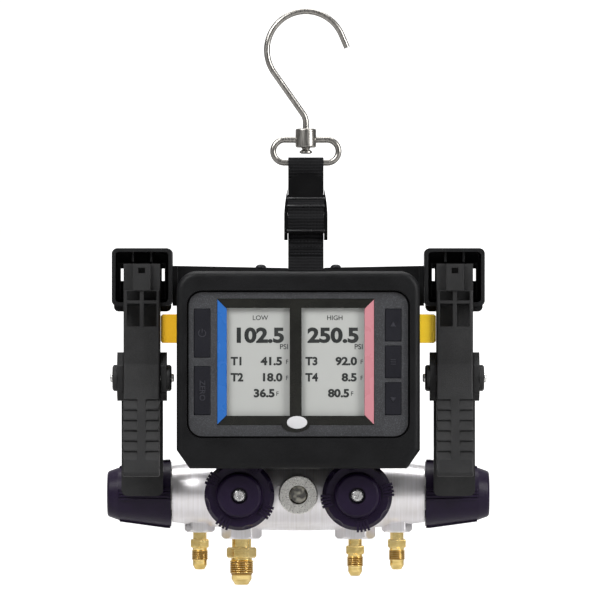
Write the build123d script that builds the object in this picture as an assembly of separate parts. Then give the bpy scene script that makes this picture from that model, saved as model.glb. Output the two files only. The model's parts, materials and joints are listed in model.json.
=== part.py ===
from build123d import *

import os
from math import asin, cos, radians, sin, sqrt

# A digital refrigerant manifold gauge that hangs from its own swivel hook.
# Millimetres. X to the right, Y to the back, Z up. The origin is the place on the inside
# of the hook that rests on whatever the gauge hangs from.
os.makedirs("parts", exist_ok=True)

RUN_GAP = 0.06          # radial clearance of a turning fit
SLIDE_GAP = 0.25        # clearance round a moving key or lever
SEAT_GAP = 0.3          # clearance of a soft or swinging piece

# The hook, its swivel and its ring
HOOK_WIRE = 4.0
HOOK_RADIUS = 25.3      # centre line of the bow
HOOK_DROP = 44.0        # bow centre down to the bend above the stem
HOOK_BEND = 10.0
HOOK_END_ANGLE = 23.0   # where the bow turns into the straight tip
HOOK_TIP = 9.0
HOOK_STEM = 7.0         # bend down to the swivel barrel
BARREL_D = 13.6
BARREL_H = 12.4
BARREL_WALL = 1.2       # metal left between the stem's bore and the ring's ends
BUTTON_D = 8.4
BUTTON_H = 4.0
RING_WIRE = 4.0
RING_W = 42.5           # centre lines of the ring's wire
RING_H = 14.9
RING_DROP = 7.3         # barrel top down to the ring's upper wire

# The webbing and its ladder buckle
WEB_W = 23.0
WEB_T = 1.5
WEB_NECK = 7.0          # from a bar's centre to where the two layers meet
BUCKLE_DROP = 27.0      # ring bar down to the buckle's upper bar
BUCKLE_PITCH = 13.0     # between the buckle's two bars
BUCKLE_BAR = 3.2
BUCKLE_CHEEK = 2.3
BUCKLE_H = 36.6
BUCKLE_DEPTH = 11.6
BUCKLE_SLAT = 1.7
BUCKLE_SLAT_H = 4.6
BUCKLE_TONGUE = 8.0     # how far the tongue stands above the cheeks
STRAP_DROP = 71.0       # ring bar down to the bracket's strap bar
STRAP_BAR = 5.0

# The unit below the strap hangs a little to one side of it
UNIT_X = -4.9
MANIFOLD_Y = 12.0
MANIFOLD_BELOW = 17.5   # strap bar to manifold axis, less the case's height

# The bracket: a rail with an end flange at each dock, a back plate and a foot
RAIL_H = 8.0
RAIL_T = 5.0
RAIL_RISE = 1.5         # how much higher the rail's ends are than its middle
FLANGE_T = 3.2
FLANGE_H = 26.0
PLATE_W = 64.0
PLATE_T = 4.0
FOOT_T = 3.5
FOOT_DEPTH = 24.0
FOOT_WEB = 28.0         # height of the webs between foot and plate
GUSSET = 9.0
SCREW_SHANK = 3.0
SCREW_HEAD = 7.0
SCREW_HEAD_H = 2.2

# The display
CASE_SIDE = 6.55        # beside the panel
CASE_TOP = 0.3          # case top above the strap bar's centre
CASE_ABOVE = 12.3       # above the panel
CASE_BELOW = 19.7       # below the panel
CASE_WALL = 2.5
CASE_CORNER = 13.0
CASE_CHAMFER_X = 8.5
CASE_CHAMFER_Z = 12.0
CASE_FRONT_DEPTH = 14.0
CASE_REAR_DEPTH = 29.0
CASE_REAR_LIFT = 8.0    # how much higher the rear shell ends, to clear the valve knobs
CASE_REAR_INSET = 3.0
CASE_EDGE = 4.0
PANEL_SIDE = 21.1       # beside the screen, where the keys are
PANEL_EDGE = 6.8        # above and below the screen
PANEL_CORNER = 10.0
PANEL_DEPTH = 2.6
PANEL_T = 2.0
SCREEN_W = 101.2
SCREEN_H = 81.4
SCREEN_RISE = 1.5       # screen centre above the panel's centre
SCREEN_SHIFT = -1.7
SCREEN_T = 3.0
WINDOW_SIDE = 6.4       # from a window to the screen's side edge
WINDOW_EDGE = 6.05      # from a window to the screen's upper edge
WINDOW_GAP = 7.6
STRIPE_W = 6.0
STRIPE_T = 1.0
KEY_W = 10.2
KEY_T = 3.4
KEY_INSET = 6.7         # from the screen's upper edge to the first key
LEFT_KEY_SPACE = 6.0    # between the two keys on the left
RIGHT_KEY_SPACE = 3.1   # between the three keys on the right
LEFT_KEY_EDGE = 9.9     # from a key's middle to the panel's side
RIGHT_KEY_EDGE = 10.7
LCD_T = 3.0
BOARD_T = 1.6
CELL_L = 50.0
CELL_D = 14.2
CELL_PITCH = 15.0
COVER_T = 1.6
COVER_GAP = 6.0         # from the back plate to a cover
COVER_DROP = 17.0       # case top to a cover's top
COVER_CORNER = 3.0
COVER_EDGE = 4.0        # cover's edge beyond the cells' ends
GRIP_PITCH = 2.6
GRIP_RIB = 1.2

# The manifold and its four valves
BODY_L = 164.5
BODY_END_R = 18.5
BODY_MID_R = 24.0
BODY_FLAT = 22.0        # flat on top, above the axis
VALVE_X = 38.1
KNOB_D = 47.6
KNOB_H = 17.5
KNOB_DISC_D = 28.0
KNOB_RIM_STEP = 3.2
KNOB_BOSS = 12.0
BONNET_D = 22.0
BONNET_H = 8.0
STEM_D = 8.0
STEM_IN = 16.0
END_KNOB_L = 41.6
END_KNOB_R = 22.4
END_KNOB_TIP_R = 14.5
KNOB_WALL = 3.0
RIB_COUNT = 4
RIB_GROUPS = 4
RIB_PITCH = 6.0         # degrees between ribs of one group
RIB_PROUD = 1.2
RIB_W = 1.5
SIGHT_D = 25.4
SIGHT_BORE = 12.7
SIGHT_T = 6.0

# The flare fittings: place along the body, thread size, nut size and lengths
SMALL_FLARE = 11.1      # 7/16-20 thread of a quarter inch flare
LARGE_FLARE = 15.9      # 5/8-18 thread of a three-eighths flare
OUTER_PORT_X = 64.2
OUTER_BOSS = 20.5
OUTER_BOSS_DROP = 25.0
INNER_BOSS = 27.0
INNER_BOSS_DROP = 29.2
INNER_PORT_X = 37.0
FLARE_NECK = 4.5
FLARE_HEX_H = 5.6
FLARE_THREAD_L = 8.0
FLARE_NOSE = 5.0
LARGE_SCALE = 1.25      # a three-eighths fitting's lengths against a quarter inch one's

# A pipe clamp stored in each dock
CLAMP_OUT = 22.75       # clamp's middle from the case's side
DOCK_W = 39.0
DOCK_H = 37.4
DOCK_RISE = 15.3        # dock top above the strap bar's centre
DOCK_WALL = 2.4
DOCK_CORNER = 3.6
DOCK_FRONT = 26.0       # how far the dock's rim stands in front of the strap's plane
DOCK_BACK = 2.5
LIP_DROP = 3.6
LIP_DEPTH = 14.0
NEST_H = 22.0           # frame inside the dock round the clamp's arms
NEST_RIB = 1.5
NEST_DEPTH = 9.0
SLIT_W = 2.0
SLIT_H = 8.0
ARM_W = 23.6
ARM_T = 4.0
ARM_TOP = 5.2           # arm top above the strap bar's centre
ARM_GAP = 0.6           # front arm's clearance to the dock's rim
PIVOT_DROP = 68.6       # strap bar down to the clamp's pivot
PIVOT_Y = -21.5
PIVOT_D = 4.0
PIVOT_HUB = 8.6         # radius of the ears round the pivot
EAR_T = 2.4
REAR_ARM_FRONT = 17.5
CAP_D = 17.0
CAP_T = 3.0
PIN_HEAD_D = 5.6
PIN_HEAD_T = 1.6
HANDLE_L = 68.0         # pivot down to the front handle's end
HANDLE_TILT = 13.0
HANDLE_T = 9.0
GRIP_PROUD = 0.8        # how far the handle's root stands in front of the arm
GRIP_EDGE = 2.5
GRIP_WALL = 2.0
SCOOP_COUNT = 6
SCOOP_START = 17.0      # from the handle's root to the first scoop
SCOOP_PITCH = 6.8
SCOOP_DEPTH = 1.2
SCOOP_INSET = 2.6       # from the lever's middle to a scoop
SCOOP_CORNER = 2.0
TAB_W = 11.2
TAB_H = 17.2
SLOT_W = 4.4
JAW_W = 18.0
SENSOR_D = 4.4
POCKET_RIB = 2.6
POCKET_EDGE = 2.2
POCKET_ROWS = ((0.5, 6.5), (8.5, 23.3))
REAR_HANDLE_L = 76.5
REAR_HANDLE_T = 6.0
SPRING_WIRE = 1.6
SPRING_COILS = 4
PAD_T = 2.0
PAD_H = 12.0

# A yellow sensor plug in each side of the case
PLUG_W = 18.6
PLUG_T = 9.0
PLUG_OUT = 10.6
PLUG_IN = 9.0
PLUG_Y = -22.0
PLUG_DROP = 37.0        # case top down to the plug's centre

# Heights worked out from the sizes above
WINDOW_W = (SCREEN_W - WINDOW_GAP) / 2 - WINDOW_SIDE
WINDOW_H = SCREEN_H - 2 * WINDOW_EDGE
KEY_COLUMN_H = SCREEN_H - 2 * KEY_INSET
LEFT_KEY_H = (KEY_COLUMN_H - LEFT_KEY_SPACE) / 2
RIGHT_KEY_H = (KEY_COLUMN_H - 2 * RIGHT_KEY_SPACE) / 3
PANEL_W = SCREEN_W + 2 * PANEL_SIDE
PANEL_H = SCREEN_H + 2 * PANEL_EDGE
LEFT_KEY_X = LEFT_KEY_EDGE - PANEL_W / 2
RIGHT_KEY_X = PANEL_W / 2 - RIGHT_KEY_EDGE
CASE_W = PANEL_W + 2 * CASE_SIDE
CASE_H = CASE_ABOVE + PANEL_H + CASE_BELOW
PANEL_DROP = CASE_ABOVE + PANEL_H / 2
MANIFOLD_DROP = CASE_H + MANIFOLD_BELOW
CLAMP_X = CASE_W / 2 + CLAMP_OUT

BOW_Z = HOOK_WIRE / 2 - HOOK_RADIUS
BEND_Z = BOW_Z - HOOK_DROP
BARREL_TOP = BEND_Z - HOOK_STEM
BARREL_BOTTOM = BARREL_TOP - BARREL_H
RING_TOP_Z = BARREL_TOP - RING_DROP
RING_BAR_Z = RING_TOP_Z - RING_H
BUCKLE_TOP_Z = RING_BAR_Z - BUCKLE_DROP
BUCKLE_LOW_Z = BUCKLE_TOP_Z - BUCKLE_PITCH
STRAP_BAR_Z = RING_BAR_Z - STRAP_DROP
MANIFOLD_Z = STRAP_BAR_Z - MANIFOLD_DROP
CASE_TOP_Z = STRAP_BAR_Z + CASE_TOP
PANEL_Z = CASE_TOP_Z - PANEL_DROP
SCREEN_Z = PANEL_Z + SCREEN_RISE
PLATE_BACK = -RAIL_T / 2 + PLATE_T / 2
PLATE_FRONT = PLATE_BACK - PLATE_T
CASE_BACK = PLATE_FRONT
CASE_SPLIT = CASE_BACK - CASE_REAR_DEPTH
CASE_FRONT = CASE_SPLIT - CASE_FRONT_DEPTH
FOOT_Z = MANIFOLD_Z + BODY_FLAT
DOCK_TOP_Z = STRAP_BAR_Z + DOCK_RISE
DOCK_MID_Z = DOCK_TOP_Z - DOCK_H / 2
PIVOT_Z = STRAP_BAR_Z - PIVOT_DROP
ARM_TOP_Z = STRAP_BAR_Z + ARM_TOP


def save(shape, node):
    """Writes one piece of the gauge under the name of its node."""
    export_step(Part() + shape, f"parts/{node}.step")


def bar(x, y, z, diameter, length):
    """A round bar along X, centred at a point."""
    return Location((x, y, z), (0, 90, 0)) * Cylinder(diameter / 2, length)


def rod(x, y, z, diameter, length):
    """A round bar along Y, from its front end at y towards the back."""
    return Location((x, y + length / 2, z), (90, 0, 0)) * Cylinder(diameter / 2, length)


def block(x, y, z):
    """A plain box between three pairs of limits."""
    return Pos((x[0] + x[1]) / 2, (y[0] + y[1]) / 2, (z[0] + z[1]) / 2) * Box(
        abs(x[1] - x[0]), abs(y[1] - y[0]), abs(z[1] - z[0])
    )


def facing(x, front, z):
    """A plane whose normal points at the viewer, with its X to the right and its Y up."""
    return Plane(origin=(x, front, z), x_dir=(1, 0, 0), z_dir=(0, -1, 0))


def slab(sketch, x, front, z, thickness):
    """A front outline made into a plate that runs back from its front face."""
    return extrude(facing(x, front, z) * sketch, -thickness)


def side_profile(x, sketch, width):
    """An outline drawn in Y and Z, made as wide as the piece is in X, centred at x."""
    plane = Plane(origin=(x - width / 2, 0, 0), x_dir=(0, 1, 0), z_dir=(1, 0, 0))
    return extrude(plane * sketch, width)


def make_hook():
    """The bow, the slanted shank and the stem, one bent wire."""
    reach = sqrt(HOOK_DROP**2 - HOOK_RADIUS**2)
    lean = asin(HOOK_RADIUS / HOOK_DROP)
    leave = Vector(-reach * sin(lean), 0, BEND_Z + reach * cos(lean))
    foot = Vector(0, 0, BARREL_BOTTOM - BUTTON_H / 2)
    shank = FilletPolyline(foot, Vector(0, 0, BEND_Z), leave, radius=HOOK_BEND)
    end = radians(HOOK_END_ANGLE)
    start = Vector(HOOK_RADIUS * cos(end), 0, BOW_Z + HOOK_RADIUS * sin(end))
    over = Vector(0, 0, BOW_Z + HOOK_RADIUS)
    bow = ThreePointArc(leave, over, start)
    tip = Line(start, start + Vector(sin(end), 0, -cos(end)) * HOOK_TIP)
    path = Wire(shank.edges() + bow.edges() + tip.edges())
    section = Plane(origin=foot, z_dir=(0, 0, 1)) * Circle(HOOK_WIRE / 2)
    save(sweep(section, path=path), "hook")


def make_hook_button():
    """The riveted button that keeps the barrel on the stem."""
    outline = Polyline(
        (0, BARREL_BOTTOM - RUN_GAP),
        (BUTTON_D * 0.36, BARREL_BOTTOM - RUN_GAP),
        (BUTTON_D * 0.28, BARREL_BOTTOM - BUTTON_H * 0.3),
        (BUTTON_D / 2, BARREL_BOTTOM - BUTTON_H * 0.6),
        (BUTTON_D / 2, BARREL_BOTTOM - BUTTON_H * 0.85),
        (BUTTON_D * 0.36, BARREL_BOTTOM - BUTTON_H),
        (0, BARREL_BOTTOM - BUTTON_H),
        close=True,
    )
    button = revolve(Plane.XZ * make_face(outline), Axis.Z)
    stem = Pos(0, 0, BARREL_BOTTOM) * Cylinder(HOOK_WIRE / 2, BUTTON_H)
    save(button - stem, "hook_button")


def ring_wire():
    """An open flat ring whose two ends run into the barrel."""
    end_x = HOOK_WIRE / 2 + RUN_GAP + BARREL_WALL
    bend = RING_H / 2
    straight = RING_W / 2 - bend
    path = (
        Line((end_x, 0, RING_TOP_Z), (straight, 0, RING_TOP_Z))
        + ThreePointArc(
            (straight, 0, RING_TOP_Z), (RING_W / 2, 0, RING_TOP_Z - bend), (straight, 0, RING_BAR_Z)
        )
        + Line((straight, 0, RING_BAR_Z), (-straight, 0, RING_BAR_Z))
        + ThreePointArc(
            (-straight, 0, RING_BAR_Z), (-RING_W / 2, 0, RING_TOP_Z - bend), (-straight, 0, RING_TOP_Z)
        )
        + Line((-straight, 0, RING_TOP_Z), (-end_x, 0, RING_TOP_Z))
    )
    section = Plane(origin=(end_x, 0, RING_TOP_Z), z_dir=(1, 0, 0)) * Circle(RING_WIRE / 2)
    return sweep(section, path=Wire(path.edges()))


def make_swivel():
    ring = ring_wire()
    barrel = Pos(0, 0, (BARREL_TOP + BARREL_BOTTOM) / 2) * Cylinder(BARREL_D / 2, BARREL_H)
    barrel = fillet(barrel.edges().filter_by(GeomType.CIRCLE), 1.2)
    bore = Pos(0, 0, RING_TOP_Z) * Cylinder(HOOK_WIRE / 2 + RUN_GAP, BARREL_H * 2)
    save(barrel - bore - ring, "swivel_barrel")
    save(ring, "swivel_ring")


def webbing_band(top_z, top_bar, low_z, low_bar):
    """Two layers of webbing sewn together, with an open eye round a bar at each end."""
    outline = block((-WEB_W / 2, WEB_W / 2), (-WEB_T, WEB_T), (low_z, top_z))
    eyes = []
    for z, diameter, inward in ((top_z, top_bar, -1), (low_z, low_bar, 1)):
        inner = diameter / 2 + RUN_GAP
        neck_z = z + inward * (inner + WEB_NECK)
        for radius, half, made in ((inner + WEB_T, WEB_T, "outer"), (inner, 0.02, "inner")):
            stop = neck_z if made == "outer" else neck_z - inward * WEB_T
            edges = Pos(0, z) * Circle(radius)
            ends = Pos(0, stop) * Rectangle(2 * half, 0.04)
            teardrop = side_profile(0, make_hull(edges.edges() + ends.edges()), WEB_W)
            if made == "outer":
                outline += teardrop
            else:
                eyes.append(side_profile(0, make_hull(edges.edges() + ends.edges()), WEB_W + 2))
    for eye in eyes:
        outline -= eye
    return outline


def make_strap():
    save(webbing_band(RING_BAR_Z, RING_WIRE, BUCKLE_TOP_Z, BUCKLE_BAR), "upper_webbing")
    save(webbing_band(BUCKLE_LOW_Z, BUCKLE_BAR, STRAP_BAR_Z, STRAP_BAR), "lower_webbing")


def make_buckle():
    """Two crowned cheeks, two round bars for the webbing, front slats and a tongue."""
    middle = (BUCKLE_TOP_Z + BUCKLE_LOW_Z) / 2
    inside = WEB_W / 2 + SEAT_GAP
    cheek_side = Pos(0, middle) * Ellipse(BUCKLE_DEPTH / 2, BUCKLE_H / 2)
    trim = Pos(0, middle) * Rectangle(BUCKLE_DEPTH, BUCKLE_H * 0.92)
    buckle = Part()
    for side in (-1, 1):
        buckle += side_profile(side * (inside + BUCKLE_CHEEK / 2), cheek_side & trim, BUCKLE_CHEEK)
    for z in (BUCKLE_TOP_Z, BUCKLE_LOW_Z):
        buckle += bar(0, 0, z, BUCKLE_BAR, 2 * inside)
    eye = BUCKLE_BAR / 2 + RUN_GAP + WEB_T + SEAT_GAP
    slat_y = (-eye - BUCKLE_SLAT, -eye)
    pitch = BUCKLE_SLAT_H * 1.45
    for step in range(-1, 3):
        z = middle + (step - 0.5) * pitch
        buckle += block((-inside, inside), slat_y, (z - BUCKLE_SLAT_H / 2, z + BUCKLE_SLAT_H / 2))
    tongue_foot = middle + 2 * pitch - BUCKLE_SLAT_H / 2
    tongue_top = middle + BUCKLE_H / 2 + BUCKLE_TONGUE
    side_z = tongue_top - WEB_W / 4
    tongue = Pos(0, (tongue_foot + side_z) / 2) * Rectangle(WEB_W, side_z - tongue_foot)
    tongue += Pos(0, side_z) * Ellipse(WEB_W / 2, tongue_top - side_z)
    plate = slab(tongue, 0, slat_y[0], 0, BUCKLE_SLAT)
    foot = block((-inside, inside), slat_y, (tongue_foot - pitch / 2, tongue_foot + WEB_T))
    wide = inside + BUCKLE_CHEEK
    top_z, low_z = middle + BUCKLE_H / 2, middle - BUCKLE_H / 2
    bow = Spline((wide, low_z), (wide, middle), (WEB_W / 2, top_z), tangents=((0, 1), (-0.25, 1)))
    sides = bow.edges() + mirror(bow, Plane.YZ).edges()
    foot_edge = Polyline((-wide, low_z), (wide, low_z)).edges()
    head_edge = Polyline((-WEB_W / 2, top_z), (WEB_W / 2, top_z)).edges()
    bowed = make_face(sides + foot_edge + head_edge)
    bowed = fillet(bowed.vertices().group_by(Axis.Y)[0], BUCKLE_CHEEK)
    buckle &= slab(bowed, 0, -BUCKLE_DEPTH, 0, 2 * BUCKLE_DEPTH)
    save(buckle + plate + foot, "strap_buckle")


def make_bracket():
    """Rail with a round strap bar in its middle, end flanges, back plate and foot."""
    rail_x = CLAMP_X - DOCK_W / 2 - FLANGE_T
    rail_top = STRAP_BAR_Z + STRAP_BAR / 2
    top = [(-rail_x, rail_top + RAIL_RISE), (0, rail_top), (rail_x, rail_top + RAIL_RISE)]
    low = [(x, z - RAIL_H) for x, z in reversed(top)]
    outline = Polyline(*top, *low, close=True)
    bracket = slab(make_face(outline), UNIT_X, -RAIL_T / 2, 0, RAIL_T)
    for side in (-1, 1):
        x = (UNIT_X + side * rail_x, UNIT_X + side * (rail_x + FLANGE_T))
        z = rail_top + RAIL_RISE
        bracket += block(x, (-RAIL_T * 2, DOCK_BACK), (z - FLANGE_H, z))
        gusset = Polyline(
            (side * rail_x, z - RAIL_H),
            (side * (rail_x - GUSSET), z - RAIL_H),
            (side * rail_x, z - RAIL_H - GUSSET),
            close=True,
        )
        bracket += slab(make_face(gusset), UNIT_X, -RAIL_T / 2, 0, RAIL_T)
    plate_x = (UNIT_X - PLATE_W / 2, UNIT_X + PLATE_W / 2)
    plate = block(plate_x, (PLATE_FRONT, PLATE_BACK), (FOOT_Z, STRAP_BAR_Z))
    bracket += fillet(plate.edges().filter_by(Axis.Y).sort_by(Axis.Z)[:2], 3)
    foot = block(plate_x, (PLATE_FRONT, PLATE_FRONT + FOOT_DEPTH), (FOOT_Z, FOOT_Z + FOOT_T))
    bracket += foot
    for step in (-1, 1):
        web = Polyline(
            (PLATE_BACK, FOOT_Z),
            (PLATE_FRONT + FOOT_DEPTH - 2, FOOT_Z),
            (PLATE_BACK, FOOT_Z + FOOT_WEB),
            close=True,
        )
        bracket += side_profile(UNIT_X + step * (PLATE_W / 2 - PLATE_T * 0.75), make_face(web), PLATE_T)
    eye = STRAP_BAR / 2 + RUN_GAP + WEB_T + 2 * SEAT_GAP
    slot_w = WEB_W + 4 * SEAT_GAP
    bracket -= block((-slot_w / 2, slot_w / 2), (-20, 20), (STRAP_BAR_Z - eye, STRAP_BAR_Z + 20))
    bracket += bar(0, 0, STRAP_BAR_Z, STRAP_BAR, slot_w)
    for x in foot_screw_x():
        bracket -= Pos(x, MANIFOLD_Y, FOOT_Z) * Cylinder(SCREW_SHANK / 2, FOOT_T * 4)
    for x, z in case_screw_spots():
        bracket -= rod(x, PLATE_FRONT - 1, z, SCREW_SHANK, PLATE_T + 2)
    for x in rail_screw_x():
        bracket -= Pos(x, 0, STRAP_BAR_Z) * Cylinder(SCREW_SHANK / 2, RAIL_H * 3)
        bracket -= Pos(x, 0, rail_screw_z(x) + RAIL_H / 2) * Cylinder(SCREW_HEAD / 2 + SLIDE_GAP, RAIL_H)
    save(bracket, "hanger_bracket")


def foot_screw_x():
    return [UNIT_X + side * PLATE_W * 0.34 for side in (-1, 1)]


def rail_screw_x():
    return [UNIT_X + side * PLATE_W * 0.38 for side in (-1, 1)]


def rail_screw_z(x):
    """The rail's upper face at a screw, spot-faced level."""
    reach = CLAMP_X - DOCK_W / 2 - FLANGE_T
    return STRAP_BAR_Z + STRAP_BAR / 2 + RAIL_RISE * (abs(x - UNIT_X) - SCREW_HEAD) / reach


def case_screw_spots():
    """Four screws through the back plate into the case."""
    return [
        (UNIT_X + side * PLATE_W * 0.36, z)
        for side in (-1, 1)
        for z in (STRAP_BAR_Z - 22, FOOT_Z + 38)
    ]


def screw(shank_length):
    """A round-headed screw along Z, its head's underside at the origin, head up."""
    dome = Ellipse(SCREW_HEAD / 2, SCREW_HEAD_H) & Pos(SCREW_HEAD / 2, SCREW_HEAD_H) * Rectangle(
        SCREW_HEAD, 2 * SCREW_HEAD_H
    )
    head = revolve(Plane.XZ * dome, Axis.Z)
    socket = Pos(0, 0, SCREW_HEAD_H) * extrude(RegularPolygon(1.4, 6), -1.4)
    return head + Pos(0, 0, -shank_length / 2) * Cylinder(SCREW_SHANK / 2, shank_length) - socket


def make_bracket_screws():
    screws = Part()
    for x in foot_screw_x():
        screws += Pos(x, MANIFOLD_Y, FOOT_Z + FOOT_T) * screw(FOOT_T + 7)
    for x in rail_screw_x():
        screws += Pos(x, 0, rail_screw_z(x)) * screw(RAIL_H)
    save(screws, "bracket_screws")
    backs = Part()
    for x, z in case_screw_spots():
        backs += Location((x, PLATE_BACK, z), (-90, 0, 0)) * screw(PLATE_T + CASE_WALL)
    save(backs, "case_screws")


def case_outline(inset, low_z, high_z):
    """The case seen from the front: round upper corners and chamfered lower ones."""
    half = CASE_W / 2 - inset
    top, low = high_z - inset, low_z + inset
    points = [
        (-half, low + CASE_CHAMFER_Z),
        (-half, top),
        (half, top),
        (half, low + CASE_CHAMFER_Z),
        (half - CASE_CHAMFER_X, low),
        (-half + CASE_CHAMFER_X, low),
    ]
    face = make_face(Polyline(*points, close=True))
    upper = face.vertices().sort_by(Axis.Y)[-2:]
    return fillet(upper, CASE_CORNER - inset)


def front_case_body(inset):
    """The front half's outer or inner form, its front edge rounded."""
    face = case_outline(inset, CASE_TOP_Z - CASE_H, CASE_TOP_Z)
    body = slab(face, UNIT_X, CASE_FRONT + inset, 0, CASE_FRONT_DEPTH - inset)
    rim = body.edges().group_by(Axis.Y)[0]
    return fillet(rim, max(CASE_EDGE - inset, 0.8))


def make_front_shell():
    """A deep frame round the panel, open to the rear shell."""
    shell = front_case_body(0) - front_case_body(CASE_WALL)
    hollow = case_outline(CASE_WALL, CASE_TOP_Z - CASE_H, CASE_TOP_Z)
    back = slab(hollow, UNIT_X, CASE_SPLIT - CASE_WALL, 0, CASE_WALL * 2)
    shell -= back
    recess = Pos(0, PANEL_Z) * RectangleRounded(PANEL_W, PANEL_H, PANEL_CORNER)
    shell -= slab(recess, UNIT_X, CASE_FRONT - 1, 0, PANEL_DEPTH + CASE_WALL + 2)
    outer_w, outer_h = PANEL_W + 2 * CASE_WALL, PANEL_H + 2 * CASE_WALL
    ledge_out = Pos(0, PANEL_Z) * RectangleRounded(outer_w, outer_h, PANEL_CORNER)
    ledge_in = Pos(0, PANEL_Z) * RectangleRounded(PANEL_W - 3, PANEL_H - 3, PANEL_CORNER - 1.5)
    ledge = slab(ledge_out - ledge_in, UNIT_X, CASE_FRONT + PANEL_DEPTH + PANEL_T, 0, CASE_WALL)
    wall = slab(ledge_out - recess, UNIT_X, CASE_FRONT + CASE_WALL, 0, PANEL_DEPTH + PANEL_T)
    floor_z = CASE_TOP_Z - CASE_H
    under = block(
        (UNIT_X - CASE_W / 2 + CASE_CHAMFER_X, UNIT_X + CASE_W / 2 - CASE_CHAMFER_X),
        (CASE_SPLIT - CASE_WALL, CASE_SPLIT),
        (floor_z + CASE_WALL / 2, floor_z + CASE_REAR_LIFT + CASE_WALL),
    )
    inner = front_case_body(CASE_WALL / 2)
    shell += (ledge + wall + under) & extrude(inner.faces().sort_by(Axis.Y)[-1], CASE_FRONT_DEPTH, both=True)
    save(shell, "front_shell")


def rear_case_body(inset):
    floor_z = CASE_TOP_Z - CASE_H + CASE_REAR_LIFT
    face = case_outline(CASE_REAR_INSET + inset, floor_z - CASE_REAR_INSET, CASE_TOP_Z)
    body = slab(face, UNIT_X, CASE_SPLIT, 0, CASE_REAR_DEPTH - inset)
    return fillet(body.edges().group_by(Axis.Y)[-1], max(CASE_EDGE * 1.5 - inset, 0.8))


def make_rear_shell():
    """The rear half: a tray with screw posts and a window for the batteries on each side of the plate."""
    shell = rear_case_body(0) - rear_case_body(CASE_WALL)
    for x, z in case_screw_spots():
        shell += rod(x, CASE_BACK - 12, z, SCREW_SHANK * 2.4, 12 - CASE_WALL / 2)
        shell -= rod(x, CASE_BACK - CASE_WALL, z, SCREW_SHANK, CASE_WALL * 2)
    floor_z = CASE_TOP_Z - CASE_H + CASE_REAR_LIFT
    for step in range(6):
        z = floor_z + 14 + step * 4
        for side in (-1, 1):
            x = UNIT_X + side * (PLATE_W / 2 + 20)
            shell -= block((x - 9, x + 9), (CASE_BACK - 0.8, CASE_BACK + 1), (z, z + 1.4))
    for side in (-1, 1):
        shell -= plug_body(side, PLUG_T - 3, PLUG_W - 3, PLUG_IN, 2)
        side_wall = CASE_REAR_INSET + 0.02
        shell -= plug_body(side, PLUG_T, PLUG_W, side_wall, 2)
    save(shell, "rear_shell")


def make_battery_covers():
    """A snap-in cover on each side of the back plate, and two cells behind each."""
    covers = Part()
    cells = Part()
    width, height = 2 * CELL_PITCH, CELL_L + 2 * COVER_EDGE
    z = CASE_TOP_Z - COVER_DROP - height / 2
    for side in (-1, 1):
        x = UNIT_X + side * (PLATE_W / 2 + CELL_PITCH + COVER_GAP)
        cover = Pos(0, z) * RectangleRounded(width, height, COVER_CORNER)
        covers += slab(cover, x, CASE_BACK, 0, COVER_T)
        for step in range(4):
            low = z + height / 4 + GRIP_PITCH * step
            span = (x - width / 4, x + width / 4)
            covers += block(span, (CASE_BACK + COVER_T, CASE_BACK + COVER_T + 0.6), (low, low + GRIP_RIB))
        for offset in (-CELL_PITCH / 2, CELL_PITCH / 2):
            spot = Pos(x + offset, CASE_BACK - CASE_WALL - CELL_PITCH / 2, z)
            cells += spot * Cylinder(CELL_D / 2, CELL_L)
    save(covers, "battery_covers")
    save(cells, "battery_cells")


def key_spots():
    """Name, centre and height of each key."""
    top = PANEL_Z + KEY_COLUMN_H / 2 + SCREEN_RISE
    low = top - KEY_COLUMN_H
    right_middle = (top + low) / 2
    return [
        ("power_key", LEFT_KEY_X, top - LEFT_KEY_H / 2, LEFT_KEY_H),
        ("zero_key", LEFT_KEY_X, low + LEFT_KEY_H / 2, LEFT_KEY_H),
        ("upper_key", RIGHT_KEY_X, top - RIGHT_KEY_H / 2, RIGHT_KEY_H),
        ("middle_key", RIGHT_KEY_X, right_middle, RIGHT_KEY_H),
        ("lower_key", RIGHT_KEY_X, low + RIGHT_KEY_H / 2, RIGHT_KEY_H),
    ]


def make_panel_and_keys():
    """The inset panel with its key holes and the screen's opening, and the keys."""
    front = CASE_FRONT + PANEL_DEPTH
    face = Pos(0, PANEL_Z) * RectangleRounded(PANEL_W - 0.4, PANEL_H - 0.4, PANEL_CORNER - 0.2)
    face -= Pos(SCREEN_SHIFT, SCREEN_Z) * Rectangle(SCREEN_W, SCREEN_H)
    panel = slab(face, UNIT_X, front, 0, PANEL_T)
    for name, x, z, height in key_spots():
        hole = Pos(x, z) * Rectangle(KEY_W + 2 * SLIDE_GAP, height + 2 * SLIDE_GAP)
        panel -= slab(hole, UNIT_X, front - 1, 0, PANEL_T + 2)
        cap = slab(Pos(x, z) * RectangleRounded(KEY_W, height, 0.8), UNIT_X, front - 0.4, 0, KEY_T)
        cap = fillet(cap.edges().group_by(Axis.Y)[0], 0.5)
        skirt = Pos(x, z) * Rectangle(KEY_W + 2.4, height + 2.4)
        foot_front = front + PANEL_T + 0.1
        key = cap + slab(skirt, UNIT_X, foot_front, 0, front - 0.4 + KEY_T + 0.6 - foot_front)
        save(key, name)
    save(panel, "front_panel")


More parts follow.
